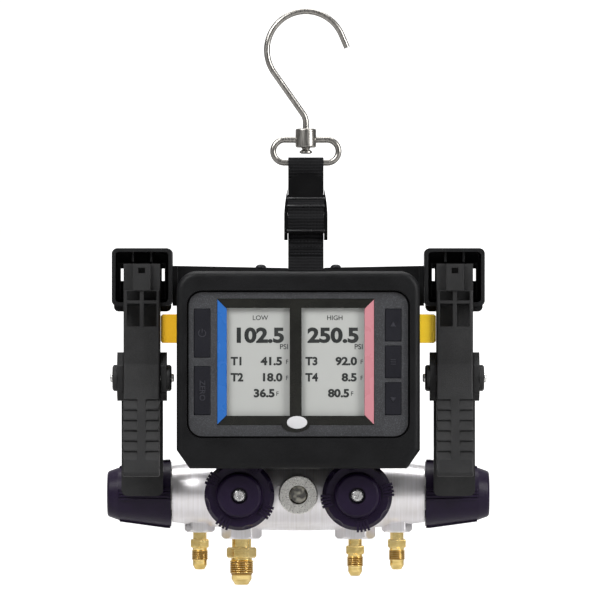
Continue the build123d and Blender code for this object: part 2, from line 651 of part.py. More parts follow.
def make_screen():
    """The glossy screen frame with two windows, the two side stripes and the display cell."""
    front = CASE_FRONT + PANEL_DEPTH + 0.2
    face = Pos(SCREEN_SHIFT, SCREEN_Z) * Rectangle(SCREEN_W - 0.2, SCREEN_H - 0.2)
    frame = slab(face, UNIT_X, front, 0, SCREEN_T)
    tab = Pos(SCREEN_SHIFT, SCREEN_Z - SCREEN_H / 2) * Ellipse(9, 4.4)
    frame += slab(tab, UNIT_X, front - 0.6, 0, 0.4)
    frame += slab(tab & face, UNIT_X, front - 0.6, 0, 0.8)
    for side in (-1, 1):
        x = SCREEN_SHIFT + side * (WINDOW_GAP / 2 + WINDOW_W / 2)
        frame -= slab(Pos(x, SCREEN_Z) * Rectangle(WINDOW_W, WINDOW_H), UNIT_X, front - 1, 0, SCREEN_T + 2)
        edge = SCREEN_SHIFT + side * (SCREEN_W / 2 - 0.3)
        inner = edge - side * STRIPE_W
        stripe = make_face(
            Polyline(
                (edge, SCREEN_Z + SCREEN_H / 2 - 0.6),
                (inner, SCREEN_Z + SCREEN_H / 2 - 0.6 - STRIPE_W),
                (inner, SCREEN_Z - SCREEN_H / 2 + 0.6 + STRIPE_W),
                (edge, SCREEN_Z - SCREEN_H / 2 + 0.6),
                close=True,
            )
        )
        plate = slab(stripe, UNIT_X, front - 0.2, 0, STRIPE_T)
        frame -= plate
        save(plate, "low_side_stripe" if side < 0 else "high_side_stripe")
    save(frame, "screen_frame")
    cell = Pos(SCREEN_SHIFT, SCREEN_Z) * Rectangle(SCREEN_W - 4, SCREEN_H - 4)
    save(slab(cell, UNIT_X, front + SCREEN_T, 0, LCD_T), "display_cell")
    board_y = front + SCREEN_T + LCD_T + SEAT_GAP
    board = Pos(0, PANEL_Z) * Rectangle(PANEL_W - 12, PANEL_H - 8)
    save(slab(board, UNIT_X, board_y, 0, BOARD_T), "circuit_board")


def plug_body(side, thick, tall, inward, outward):
    """A block through the case's side wall at a sensor plug's place."""
    x = UNIT_X + side * CASE_W / 2
    z = CASE_TOP_Z - PLUG_DROP
    return block(
        (x - side * inward, x + side * outward),
        (PLUG_Y - thick / 2, PLUG_Y + thick / 2),
        (z - tall / 2, z + tall / 2),
    )


def make_sensor_plugs():
    """Yellow two-pole plugs, their outer ends chamfered, pushed through the case's walls."""
    for side, name in ((-1, "left_sensor_plug"), (1, "right_sensor_plug")):
        body = plug_body(side, PLUG_T, PLUG_W, 0, PLUG_OUT)
        outer = body.faces().sort_by(Axis.X)[-1 if side > 0 else 0]
        body = chamfer(outer.edges(), 1.2)
        nose = plug_body(side, PLUG_T - 3, PLUG_W - 3, PLUG_IN, 0.5)
        save(body + nose, name)


def port_spots():
    """Name, place along the body, thread size, boss size and drop of each port."""
    return [
        ("left_outer_flare", -OUTER_PORT_X, SMALL_FLARE, OUTER_BOSS, OUTER_BOSS_DROP),
        ("left_inner_flare", -INNER_PORT_X, LARGE_FLARE, INNER_BOSS, INNER_BOSS_DROP),
        ("right_inner_flare", INNER_PORT_X, SMALL_FLARE, INNER_BOSS, INNER_BOSS_DROP),
        ("right_outer_flare", OUTER_PORT_X, SMALL_FLARE, OUTER_BOSS, OUTER_BOSS_DROP),
    ]


def body_radius(x):
    """The barrel's radius at a place along it."""
    return BODY_MID_R - (BODY_MID_R - BODY_END_R) * (2 * x / BODY_L) ** 2


def body_profile():
    half = BODY_L / 2
    bulge = ThreePointArc((-half, BODY_END_R), (0, BODY_MID_R), (half, BODY_END_R))
    walls = Polyline((half, BODY_END_R), (half, 0), (-half, 0), (-half, BODY_END_R))
    return make_face(bulge.edges() + walls.edges())


def make_manifold_body():
    """The swelling bar with its flat, hex port bosses, valve bores, galleries and sight bore."""
    plane = Plane(origin=(UNIT_X, MANIFOLD_Y, MANIFOLD_Z), x_dir=(1, 0, 0), z_dir=(0, -1, 0))
    body = revolve(plane * body_profile(), Axis(plane.origin, (1, 0, 0)))
    for name, x, thread, boss, drop in port_spots():
        hexagon = Pos(UNIT_X + x, MANIFOLD_Y, MANIFOLD_Z - drop) * extrude(RegularPolygon(boss / 2, 6), drop)
        cone = Pos(UNIT_X + x, MANIFOLD_Y, MANIFOLD_Z - drop / 2) * Cylinder(boss / 2 - 0.3, drop)
        cone = chamfer(cone.edges().group_by(Axis.Z)[0], 1.6)
        body += hexagon & cone
    flat = BODY_MID_R * 2
    body -= block(
        (UNIT_X - PLATE_W / 2 - 2, UNIT_X + PLATE_W / 2 + 2),
        (MANIFOLD_Y - flat, MANIFOLD_Y + flat),
        (FOOT_Z, FOOT_Z + flat),
    )
    for side in (-1, 1):
        front = MANIFOLD_Y - body_radius(VALVE_X) + 1.5
        x = UNIT_X + side * VALVE_X
        body -= rod(x, front - 20, MANIFOLD_Z, BONNET_D + 2, 20)
        body -= rod(x, front - 1, MANIFOLD_Z, STEM_D + 2 * RUN_GAP, STEM_IN + 2)
        end = UNIT_X + side * BODY_L / 2
        depth = STEM_IN + 1
        body -= bar(end - side * depth / 2, MANIFOLD_Y, MANIFOLD_Z, STEM_D + 2 * RUN_GAP, depth)
    sight_front = MANIFOLD_Y - BODY_MID_R - 1
    body -= rod(UNIT_X, sight_front, MANIFOLD_Z, SIGHT_D, SIGHT_T + 1)
    body -= rod(UNIT_X, sight_front, MANIFOLD_Z, SIGHT_BORE, SIGHT_T + 10)
    for name, x, thread, boss, drop in port_spots():
        depth = FLARE_NECK + 4
        spot = Pos(UNIT_X + x, MANIFOLD_Y, MANIFOLD_Z - drop + depth / 2)
        body -= spot * Cylinder(neck_radius(thread), depth)
    for x in foot_screw_x():
        body -= Pos(x, MANIFOLD_Y, FOOT_Z) * Cylinder(SCREW_SHANK / 2, 14.4)
    save(body, "manifold_body")


def neck_radius(thread):
    return thread * 0.465


def make_flares():
    """A brass fitting for each port: neck, nut, thread, coned nose and through bore."""
    for name, x, thread, boss, drop in port_spots():
        scale = LARGE_SCALE if thread > SMALL_FLARE else 1
        seat_z = MANIFOLD_Z - drop
        neck_r = neck_radius(thread)
        nut_top = seat_z - FLARE_NECK * scale
        nut_low = nut_top - FLARE_HEX_H * scale
        nose_top = nut_low - 1.2 - FLARE_THREAD_L * scale
        nose_low = nose_top - FLARE_NOSE * scale
        outline = Polyline(
            (0, seat_z + FLARE_NECK + 4),
            (neck_r, seat_z + FLARE_NECK + 4),
            (neck_r, nut_low),
            (thread * 0.43, nut_low),
            (thread * 0.43, nut_low - 1.2),
            (thread / 2, nut_low - 1.2),
            (thread / 2, nose_top),
            (thread * 0.44, nose_top),
            (thread * 0.44, nose_top - FLARE_NOSE * scale * 0.35),
            (thread * 0.27, nose_low),
            (0, nose_low),
            close=True,
        )
        fitting = revolve(Plane.XZ * make_face(outline), Axis.Z)
        across = thread * 1.22
        nut = Pos(0, 0, nut_low) * extrude(RegularPolygon(across / 2, 6, rotation=30), FLARE_HEX_H * scale)
        turned = Pos(0, 0, (nut_top + nut_low) / 2) * Cylinder(across / 2 - 0.2, FLARE_HEX_H * scale)
        turned = chamfer(turned.edges().filter_by(GeomType.CIRCLE), 0.8)
        bore = Pos(0, 0, seat_z) * Cylinder(thread * 0.22, 200)
        fitting = fitting + (nut & turned) - bore
        save(Pos(UNIT_X + x, MANIFOLD_Y, 0) * fitting, name)


def make_sight_glass():
    """The slotted retaining ring and the glass behind it."""
    front = MANIFOLD_Y - BODY_MID_R - 0.4
    ring = rod(UNIT_X, front, MANIFOLD_Z, SIGHT_D - 0.2, SIGHT_T + 0.4)
    ring = chamfer(ring.edges().group_by(Axis.Y)[0], 0.6)
    ring -= rod(UNIT_X, front - 1, MANIFOLD_Z, SIGHT_BORE - 0.4, SIGHT_T + 4)
    slot = slab(Rot(0, 0, 58) * Rectangle(SIGHT_D + 2, 0.9), UNIT_X, front - 1, MANIFOLD_Z, 2.2)
    ring -= slot
    save(ring, "sight_ring")
    glass = rod(UNIT_X, front + 2.2, MANIFOLD_Z, SIGHT_BORE - 0.4, SIGHT_T + 2)
    save(fillet(glass.edges().group_by(Axis.Y)[0], 1.4), "sight_glass")


def rib_angles(turn):
    """The angle of every grip rib on a knob whose first group stands at turn degrees."""
    return [
        turn + 360 / RIB_GROUPS * group + RIB_PITCH * (step - (RIB_COUNT - 1) / 2)
        for group in range(RIB_GROUPS)
        for step in range(RIB_COUNT)
    ]


def front_knob(turn):
    """A round valve knob along its own Z: skirt, sloped rim with scoops and ribs, raised disc."""
    radius = KNOB_D / 2 - RIB_PROUD
    disc = KNOB_DISC_D / 2
    rim = KNOB_H - KNOB_RIM_STEP
    outline = Polyline(
        (0, 0), (radius - 1.5, 0), (radius, 1.5), (radius, rim - 5), (radius - 2.4, rim - 1),
        (disc + 1.2, rim - 1.6), (disc, KNOB_H - 1), (disc - 1.2, KNOB_H), (0, KNOB_H), close=True,
    )
    knob = revolve(Plane.XZ * make_face(outline), Axis.Z)
    knob -= Cylinder(radius - KNOB_WALL, 2 * (rim - 6)) - Cylinder(KNOB_BOSS / 2, 3 * KNOB_H)
    for group in range(RIB_GROUPS):
        scoop = Pos(radius + 5.5, 0, rim) * Sphere(8.5)
        knob -= Rot(0, 0, turn + 360 / RIB_GROUPS * (group + 0.5)) * scoop
    rib = Pos(radius - 2.5, 0, (rim - 1) / 2 + 0.5) * Box(5 + 2 * RIB_PROUD, RIB_W, rim - 1)
    rib = chamfer(rib.edges().filter_by(Axis.Y).sort_by(Axis.X)[-2:], 1.2)
    for angle in rib_angles(turn):
        knob += Rot(0, 0, angle) * rib
    knob -= Cylinder(STEM_D / 2, 4 * KNOB_H)
    knob -= Pos(0, 0, KNOB_H) * Cylinder(KNOB_BOSS / 2 - 0.6, 2 * 4.5)
    return knob


def end_knob(turn):
    """A tapered valve knob along its own Z, wide at its foot, with ribs down its length."""
    foot_r = END_KNOB_R - RIB_PROUD
    outline = make_face(
        Polyline(
            (0, 0), (foot_r, 0), (foot_r, 3), (foot_r - 4.2, END_KNOB_L - 7), (END_KNOB_TIP_R, END_KNOB_L),
            (0, END_KNOB_L), close=True,
        )
    )
    knob = revolve(Plane.XZ * outline, Axis.Z)
    knob = fillet(knob.edges().filter_by(GeomType.CIRCLE).sort_by(Axis.Z)[-2:], 2.4)
    hollow = Cylinder(foot_r - KNOB_WALL - 2, END_KNOB_L) - Cylinder(KNOB_BOSS / 2, 3 * END_KNOB_L)
    knob -= hollow
    length = END_KNOB_L - 8
    for angle in rib_angles(turn):
        ridge = make_face(
            Polyline(
                (foot_r - 6, 0.6), (foot_r + RIB_PROUD, 0.6), (foot_r + RIB_PROUD, 3),
                (foot_r - 4.2 + RIB_PROUD, length), (foot_r - 6, length + 1), close=True,
            )
        )
        knob += Rot(0, 0, angle) * extrude(Plane.XZ * ridge, RIB_W / 2, both=True)
    knob -= Cylinder(BONNET_D / 2 + SLIDE_GAP, 2 * BONNET_H)
    knob -= Cylinder(STEM_D / 2, 4 * END_KNOB_L)
    knob -= Pos(0, 0, END_KNOB_L) * Cylinder(KNOB_BOSS / 2, 2 * 5)
    return knob


def valve_stem(into, reach):
    """A stem along Z whose shoulder screw head lies in the knob's recess."""
    stem = Pos(0, 0, (reach - into) / 2) * Cylinder(STEM_D / 2, reach + into)
    stem = chamfer(stem.edges().group_by(Axis.Z)[0], 1)
    return stem - Pos(0, 0, reach) * Cylinder(1.5, 12)


def knob_screw(reach):
    head = Pos(0, 0, reach + 1.5) * Cylinder(3.8, 3)
    head = fillet(head.edges().group_by(Axis.Z)[-1], 0.9)
    head -= Pos(0, 0, reach + 3) * extrude(RegularPolygon(2, 6), -1.6)
    return head + Pos(0, 0, reach - 3) * Cylinder(1.5, 6)


def valve_bonnet(height):
    """The hex nut that closes a valve bore and guides its stem."""
    nut = extrude(RegularPolygon(BONNET_D / 2, 6), height)
    turned = Pos(0, 0, height / 2) * Cylinder(BONNET_D / 2 - 0.4, height)
    turned = chamfer(turned.edges().group_by(Axis.Z)[-1], 1)
    return (nut & turned) - Cylinder(STEM_D / 2 + RUN_GAP, 4 * height)


def make_valves():
    """Two front valves and two end valves, each with its bonnet, stem, knob and screw."""
    front = MANIFOLD_Y - body_radius(VALVE_X) + 1.5
    knob_back = front - BONNET_H + 4
    bonnets = Part()
    for side, name, turn in ((-1, "left_front", 60), (1, "right_front", 10)):
        seat = Location((UNIT_X + side * VALVE_X, front, MANIFOLD_Z), (90, 0, 0))
        knob_seat = Location((UNIT_X + side * VALVE_X, knob_back, MANIFOLD_Z), (90, 0, 0))
        bonnets += seat * valve_bonnet(BONNET_H - 4.6)
        reach = KNOB_H - 4.5 + front - knob_back
        save(seat * valve_stem(STEM_IN, reach), f"{name}_stem")
        save(seat * knob_screw(reach), f"{name}_screw")
        save(knob_seat * front_knob(turn), f"{name}_knob")
    save(bonnets, "front_bonnets")
    end_bonnets = Part()
    for side, name in ((-1, "left_end"), (1, "right_end")):
        end = UNIT_X + side * BODY_L / 2
        seat = Location((end, MANIFOLD_Y, MANIFOLD_Z), (0, 90 * side, 0))
        end_bonnets += seat * valve_bonnet(BONNET_H)
        knob_seat = Location((end + side * 0.5, MANIFOLD_Y, MANIFOLD_Z), (0, 90 * side, 0))
        reach = END_KNOB_L - 5 + 0.5
        save(seat * valve_stem(STEM_IN, reach), f"{name}_stem")
        save(seat * knob_screw(reach), f"{name}_screw")
        save(knob_seat * end_knob(0), f"{name}_knob")
    save(end_bonnets, "end_bonnets")


def clamp_x(side):
    return UNIT_X + side * CLAMP_X


def make_dock(side, name):
    """An open-fronted box with a stepped lip, ribs, a peg for the clamp and two slits."""
    x = clamp_x(side)
    outer = Pos(0, DOCK_MID_Z) * RectangleRounded(DOCK_W, DOCK_H, DOCK_CORNER)
    inner = Pos(0, DOCK_MID_Z) * RectangleRounded(
        DOCK_W - 2 * DOCK_WALL, DOCK_H - 2 * DOCK_WALL, DOCK_CORNER - DOCK_WALL / 2
    )
    depth = DOCK_FRONT + DOCK_BACK
    dock = slab(outer, x, -DOCK_FRONT, 0, depth)
    low_z = DOCK_TOP_Z - DOCK_H
    lip_round = RectangleRounded(DOCK_W - 2, 2 * DOCK_CORNER, DOCK_CORNER - 0.4)
    lip = Pos(0, low_z - LIP_DROP + DOCK_CORNER) * lip_round
    dock += slab(lip, x, DOCK_BACK - LIP_DEPTH, 0, LIP_DEPTH)
    dock -= slab(inner, x, -DOCK_FRONT - 1, 0, DOCK_FRONT + 1)
    frame_z = ARM_TOP_Z - NEST_H / 2
    room_w, room_h = ARM_W + 4, NEST_H - 2 * NEST_RIB
    ring = Rectangle(room_w + 2 * NEST_RIB, NEST_H + 2) - Rectangle(room_w, room_h + 2)
    dock += slab(Pos(0, frame_z) * ring, x, -NEST_DEPTH, 0, NEST_DEPTH)
    for rib_side in (-1, 1):
        rib_x = x + rib_side * ARM_W / 4
        rib_top = DOCK_TOP_Z - DOCK_WALL
        dock += block((rib_x - 0.7, rib_x + 0.7), (-DOCK_FRONT * 0.8, 0), (rib_top - 6.5, rib_top))
        slit_x = x + rib_side * (ARM_W + SLIT_W) / 2 + rib_side * SLIT_W / 4
        slit = (slit_x - SLIT_W / 2, slit_x + SLIT_W / 2)
        dock -= block(slit, (-DOCK_FRONT - 1, 2 * DOCK_BACK), (frame_z, frame_z + SLIT_H))
    peg = (-REAR_ARM_FRONT + ARM_T, 0)
    dock += block((x - PAD_H / 2, x + PAD_H / 2), peg, (jaw_z() - PAD_H / 2, jaw_z() + PAD_H / 2))
    gap = ARM_W / 2 + 2 * SLIDE_GAP
    room = (-REAR_ARM_FRONT - 1, -REAR_ARM_FRONT + ARM_T + 1)
    dock -= block((x - gap, x + gap), room, (low_z - 2 * LIP_DROP, low_z + DOCK_WALL + 0.5))
    save(dock, name)


def jaw_z():
    return ARM_TOP_Z - 4 - PAD_H / 2


def jaw_meet():
    """Where the two jaws' pads meet."""
    return (-REAR_ARM_FRONT - DOCK_FRONT - ARM_GAP) / 2 + 1


def grip_direction():
    tilt = radians(HANDLE_TILT)
    return Vector(-sin(tilt), -cos(tilt)), Vector(cos(tilt), -sin(tilt))


def front_lever_profile():
    """Arm and handle from the side: a straight arm that swells forward into the grip."""
    arm_back = -DOCK_FRONT - ARM_GAP
    arm_front = arm_back - ARM_T
    down, back = grip_direction()
    start = grip_start()
    tip = start + down * HANDLE_L
    corners = [
        (arm_front, ARM_TOP_Z),
        (arm_front, PIVOT_Z + HANDLE_T),
        start + down * HANDLE_T,
        tip,
        start + down * (HANDLE_L - 2) + back * HANDLE_T,
        start + back * HANDLE_T,
        (arm_back, PIVOT_Z - 2),
        (arm_back, ARM_TOP_Z),
    ]
    points = [(corner.X, corner.Y) if isinstance(corner, Vector) else corner for corner in corners]
    face = make_face(Polyline(*points, close=True))
    ends = face.vertices().sort_by(Axis.Y)[:2]
    face = fillet(ends, GRIP_EDGE)
    swell = face.vertices().sort_by_distance(Vertex(arm_front, PIVOT_Z + HANDLE_T, 0))[:1]
    return fillet(swell, HANDLE_T)


def grip_start():
    return Vector(-DOCK_FRONT - ARM_GAP - ARM_T - GRIP_PROUD, PIVOT_Z + 3)


def pivot_eye(x):
    """The hub on the pivot and the web that ties it to the arm."""
    hub = bar(x, PIVOT_Y, PIVOT_Z, 2 * PIVOT_HUB, ARM_W)
    arm_back = -DOCK_FRONT - ARM_GAP
    reach = (arm_back - 1, PIVOT_Y)
    return hub + block((x - ARM_W / 2, x + ARM_W / 2), reach, (PIVOT_Z - PIVOT_HUB, PIVOT_Z + PIVOT_HUB))


def thumb_scoops(x):
    """Six pairs of shallow scoops, sharp at the top and running out at the foot."""
    scoops = Part()
    down, back = grip_direction()
    width = ARM_W / 2 - SCOOP_INSET
    for step in range(SCOOP_COUNT):
        top = grip_start() + down * (SCOOP_START + SCOOP_PITCH * step)
        low = top + down * (SCOOP_PITCH - 1)
        wedge = [top - back, top + back * SCOOP_DEPTH, low, low - back]
        cut = side_profile(x, make_face(Polyline(*[(p.X, p.Y) for p in wedge], close=True)), 2 * ARM_W)
        mask = Part()
        for scoop_side in (-1, 1):
            middle = x + scoop_side * (SCOOP_INSET + width / 2 + SCOOP_CORNER / 2)
            height = top.Y - low.Y + SCOOP_DEPTH
            pad = Pos(0, top.Y - height / 2 + SCOOP_DEPTH / 2) * RectangleRounded(
                width + SCOOP_CORNER, height, SCOOP_CORNER
            )
            mask += slab(pad, middle, low.X - HANDLE_T, 0, 3 * HANDLE_T)
        scoops += cut & mask
    return scoops


def make_front_lever(side, name):
    """The lever that moves: pocketed arm, jaw, ears on the pivot and a scooped hollow handle."""
    x = clamp_x(side)
    arm_back = -DOCK_FRONT - ARM_GAP
    arm_front = arm_back - ARM_T
    lever = side_profile(x, front_lever_profile(), ARM_W)
    upright = [e for e in lever.edges() if abs(e.tangent_at(0.5).Z) > 0.5]
    front_sides = [e for e in upright if e.center().Y < arm_back - ARM_T / 2]
    lever = fillet(front_sides, GRIP_EDGE / 2)
    tab_low = ARM_TOP_Z - TAB_H
    for notch_side in (-1, 1):
        notch = (x + notch_side * TAB_W / 2, x + notch_side * ARM_W)
        lever -= block(notch, (arm_front - 1, arm_front + ARM_T * 0.6), (tab_low, ARM_TOP_Z + 1))
    tab = (x - TAB_W / 2, x + TAB_W / 2)
    lever += block(tab, (arm_front - 1.2, arm_front + 1), (tab_low, ARM_TOP_Z))
    jaw = (arm_back, jaw_meet() - SLIDE_GAP / 2 - PAD_T)
    lever += block((x - JAW_W / 2, x + JAW_W / 2), jaw, (jaw_z() - PAD_H / 2, jaw_z() + PAD_H / 2))
    for pocket_side in (-1, 1):
        span = (x + pocket_side * POCKET_RIB / 2, x + pocket_side * (ARM_W / 2 - POCKET_EDGE))
        for high, low in POCKET_ROWS:
            lever -= block(span, (arm_front - 2, arm_back + 1), (tab_low - low, tab_low - high))
    slot = (tab_low + TAB_H * 0.64, tab_low + TAB_H * 0.85)
    lever -= block((x - SLOT_W / 2, x + SLOT_W / 2), (arm_front - 3, arm_back - 1), slot)
    lever += pivot_eye(x)
    down, back = grip_direction()
    start = grip_start()
    floor = start + down * (HANDLE_L - 1.5 * GRIP_WALL)
    inside = [
        start + down * 2 * GRIP_WALL + back * GRIP_WALL,
        floor + back * GRIP_WALL,
        floor + back * 2 * HANDLE_T,
        start + down * 2 * GRIP_WALL + back * 4 * HANDLE_T,
    ]
    hollow = make_face(Polyline(*[(p.X, p.Y) for p in inside], close=True))
    lever -= side_profile(x, hollow, ARM_W - 2 * EAR_T)
    lever -= bar(x, PIVOT_Y, PIVOT_Z, 2 * PIVOT_HUB + 2, ARM_W - 2 * EAR_T)
    lever -= bar(x, PIVOT_Y, PIVOT_Z, PIVOT_D + 2 * RUN_GAP, 2 * ARM_W)
    lever -= thumb_scoops(x)
    save(lever, name)
    pad_front = jaw_meet() - SLIDE_GAP / 2 - PAD_T
    pad = jaw_pad(x, pad_front)
    pad -= Location((x, pad_front + PAD_T + 1.2, jaw_z())) * bar(0, 0, 0, SENSOR_D, 2 * JAW_W)
    save(pad, name.replace("front_lever", "sensor_pad"))


def jaw_pad(x, front):
    height = PAD_H / 2 - 1
    width = JAW_W / 2 - 2
    return block((x - width, x + width), (front, front + PAD_T), (jaw_z() - height, jaw_z() + height))


def make_rear_lever(side, name):
    """The lever the dock holds: arm with its jaw, two cheeks round the pivot and a plain handle."""
    x = clamp_x(side)
    front, back = -REAR_ARM_FRONT, -REAR_ARM_FRONT + ARM_T
    inside = ARM_W / 2 + SLIDE_GAP
    outside = inside + EAR_T + 1.6
    lever = block((x - ARM_W / 2, x + ARM_W / 2), (front, back), (PIVOT_Z, ARM_TOP_Z - 2))
    pad_front = jaw_meet() + SLIDE_GAP / 2
    jaw = (pad_front + PAD_T, front)
    lever += block((x - JAW_W / 2, x + JAW_W / 2), jaw, (jaw_z() - PAD_H / 2, jaw_z() + PAD_H / 2))
    handle = block((x - ARM_W / 2 - 1.6, x + ARM_W / 2 + 1.6), (front - 0.5, front - 0.5 + REAR_HANDLE_T), (
        PIVOT_Z - REAR_HANDLE_L, PIVOT_Z - 4))
    lever += fillet(handle.edges().filter_by(Axis.Y).sort_by(Axis.Z)[:2], 4)
    cheek = make_face(
        Polyline(
            (back, PIVOT_Z + 16.6),
            (front - 5, PIVOT_Z + 16.6),
            (PIVOT_Y - 7.5, PIVOT_Z + 8),
            (PIVOT_Y - 7.5, PIVOT_Z - 9),
            (front - 4, PIVOT_Z - 14.8),
            (back, PIVOT_Z - 14.8),
            close=True,
        )
    )
    cheek = fillet(cheek.vertices(), 1.4)
    lever += side_profile(x, cheek, 2 * outside)
    room_h, room_front = 2 * CAP_D, PIVOT_Y - 2 * CAP_D
    window = make_face(
        Polyline(
            (front - 0.5, PIVOT_Z + room_h),
            (room_front, PIVOT_Z + room_h),
            (room_front, PIVOT_Z - room_h),
            (front - 0.5, PIVOT_Z - room_h),
            close=True,
        )
    )
    room = side_profile(x, window, 2 * inside)
    room += bar(x, PIVOT_Y, PIVOT_Z, 2 * (PIVOT_HUB + 0.6), 2 * inside)
    lever -= room
    lever -= bar(x, PIVOT_Y, PIVOT_Z, PIVOT_D, 3 * ARM_W)
    save(lever, name)
    return jaw_pad(x, pad_front), outside


def torsion_spring(x):
    """Coils round the pivot pin, one leg on each handle's inside."""
    radius = PIVOT_D / 2 + SPRING_WIRE / 2 + 0.6
    pitch = SPRING_WIRE + 0.15
    height = pitch * SPRING_COILS
    coil = Helix(pitch, height, radius)
    start = coil @ 0
    section = Plane(origin=start, z_dir=coil % 0) * Circle(SPRING_WIRE / 2)
    spring = sweep(section, path=Wire([coil]), is_frenet=True)
    return Location((x - height / 2, PIVOT_Y, PIVOT_Z), (0, 90, 0)) * spring


def make_clamps():
    """Both stored clamps: levers, pads, pins, caps and springs."""
    pads, pins, caps, springs = Part(), Part(), Part(), Part()
    for side, word in ((-1, "left"), (1, "right")):
        make_dock(side, f"{word}_dock")
        make_front_lever(side, f"{word}_front_lever")
        pad, outside = make_rear_lever(side, f"{word}_rear_lever")
        pads += pad
        x = clamp_x(side)
        reach = outside + CAP_T
        pins += bar(x, PIVOT_Y, PIVOT_Z, PIVOT_D, 2 * reach)
        for end in (-1, 1):
            cap = bar(x + end * (outside + CAP_T / 2), PIVOT_Y, PIVOT_Z, CAP_D, CAP_T)
            outer = cap.faces().sort_by(Axis.X)[-1 if end > 0 else 0]
            cap = chamfer(outer.edges(), 1.0)
            caps += cap - bar(x, PIVOT_Y, PIVOT_Z, PIVOT_D, 4 * reach)
            head = bar(x + end * (reach + PIN_HEAD_T / 2), PIVOT_Y, PIVOT_Z, PIN_HEAD_D, PIN_HEAD_T)
            tip = head.faces().sort_by(Axis.X)[-1 if end > 0 else 0]
            pins += fillet(tip.edges(), 0.9)
        springs += torsion_spring(x)
    save(pads, "rear_jaw_pads")
    save(pins, "pivot_pins")
    save(caps, "pivot_caps")
    save(springs, "clamp_springs")


make_hook()
make_hook_button()
make_swivel()
make_strap()
make_buckle()
make_bracket()
make_bracket_screws()
make_front_shell()
make_rear_shell()
make_battery_covers()
make_panel_and_keys()
make_screen()
make_sensor_plugs()
make_manifold_body()
make_flares()
make_sight_glass()
make_valves()
make_clamps()
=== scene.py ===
# %% [markdown]
# A digital manifold gauge hangs from a bent wire hook. Below a webbing strap come the display,
# a polished manifold with four valve knobs, four brass flare fittings and two stored pipe clamps.
# The rigid pieces already have their shapes, so this lesson dresses them: every finish is a node
# material, and the webbing, the threads and the figures on the display are modelled here.

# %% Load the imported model
import json
import math

import bpy
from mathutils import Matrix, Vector


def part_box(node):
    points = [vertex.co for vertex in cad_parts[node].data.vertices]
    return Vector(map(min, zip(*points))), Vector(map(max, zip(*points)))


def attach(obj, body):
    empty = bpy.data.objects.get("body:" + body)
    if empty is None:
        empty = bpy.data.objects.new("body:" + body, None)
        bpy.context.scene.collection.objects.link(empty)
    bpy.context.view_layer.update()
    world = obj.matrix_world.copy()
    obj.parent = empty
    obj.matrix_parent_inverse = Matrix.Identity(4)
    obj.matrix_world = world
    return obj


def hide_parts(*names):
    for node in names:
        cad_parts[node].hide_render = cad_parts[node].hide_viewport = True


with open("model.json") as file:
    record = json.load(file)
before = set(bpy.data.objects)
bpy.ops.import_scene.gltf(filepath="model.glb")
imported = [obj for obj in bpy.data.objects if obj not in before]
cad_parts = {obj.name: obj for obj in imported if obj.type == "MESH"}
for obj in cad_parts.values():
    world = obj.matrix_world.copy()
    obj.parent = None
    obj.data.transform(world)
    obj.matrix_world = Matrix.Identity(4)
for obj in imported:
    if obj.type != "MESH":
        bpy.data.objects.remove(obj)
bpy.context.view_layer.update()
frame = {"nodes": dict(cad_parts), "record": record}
nodes = frame["nodes"]
MM = 0.001
MERGE = 0.001 * MM

# %% [markdown]
# Shader maths reads best as plain expressions. A small class wraps a socket and overloads the
# operators, so that 1 - mask adds its Math node by itself. Colours go through Mix nodes instead,
# because a Math node would turn them grey.


# %% A socket that takes part in expressions
class Wire:
    def __init__(self, tree, socket):
        self.tree, self.socket = tree, socket

    def math(self, operation, other=None, flip=False):
        pair = (other, self) if flip else (self, other)
        made = self.tree.nodes.new("ShaderNodeMath")
        made.operation = operation
        for slot, value in zip(made.inputs, pair):
            if value is not None:
                plug(self.tree, slot, value)
        return Wire(self.tree, made.outputs[0])

    def __add__(self, other):
        return self.math("ADD", other)

    def __mul__(self, other):
        return self.math("MULTIPLY", other)

    def __sub__(self, other):
        return self.math("SUBTRACT", other)

    def __rsub__(self, other):
        return self.math("SUBTRACT", other, flip=True)

    __radd__, __rmul__ = __add__, __mul__


def plug(tree, slot, value):
    """Links a wire to a socket, or sets the socket's own value."""
    if isinstance(value, Wire):
        tree.links.new(value.socket, slot)
    else:
        slot.default_value = value


def add_node(tree, kind, settings=None, out=0, **values):
    """Adds a node, sets its settings or stops, then its sockets by name or as i and a number."""
    made = tree.nodes.new("ShaderNode" + kind)
    for name, value in (settings or {}).items():
        if name == "stops":
            for stop, (position, shade) in zip(made.color_ramp.elements, value):
                stop.position, stop.color = position, shade
        else:
            setattr(made, name, value)
    for name, value in values.items():
        numbered = name[0] == "i" and name[1:].isdigit()
        plug(tree, made.inputs[int(name[1:]) if numbered else name], value)
    return Wire(tree, made.outputs[out])


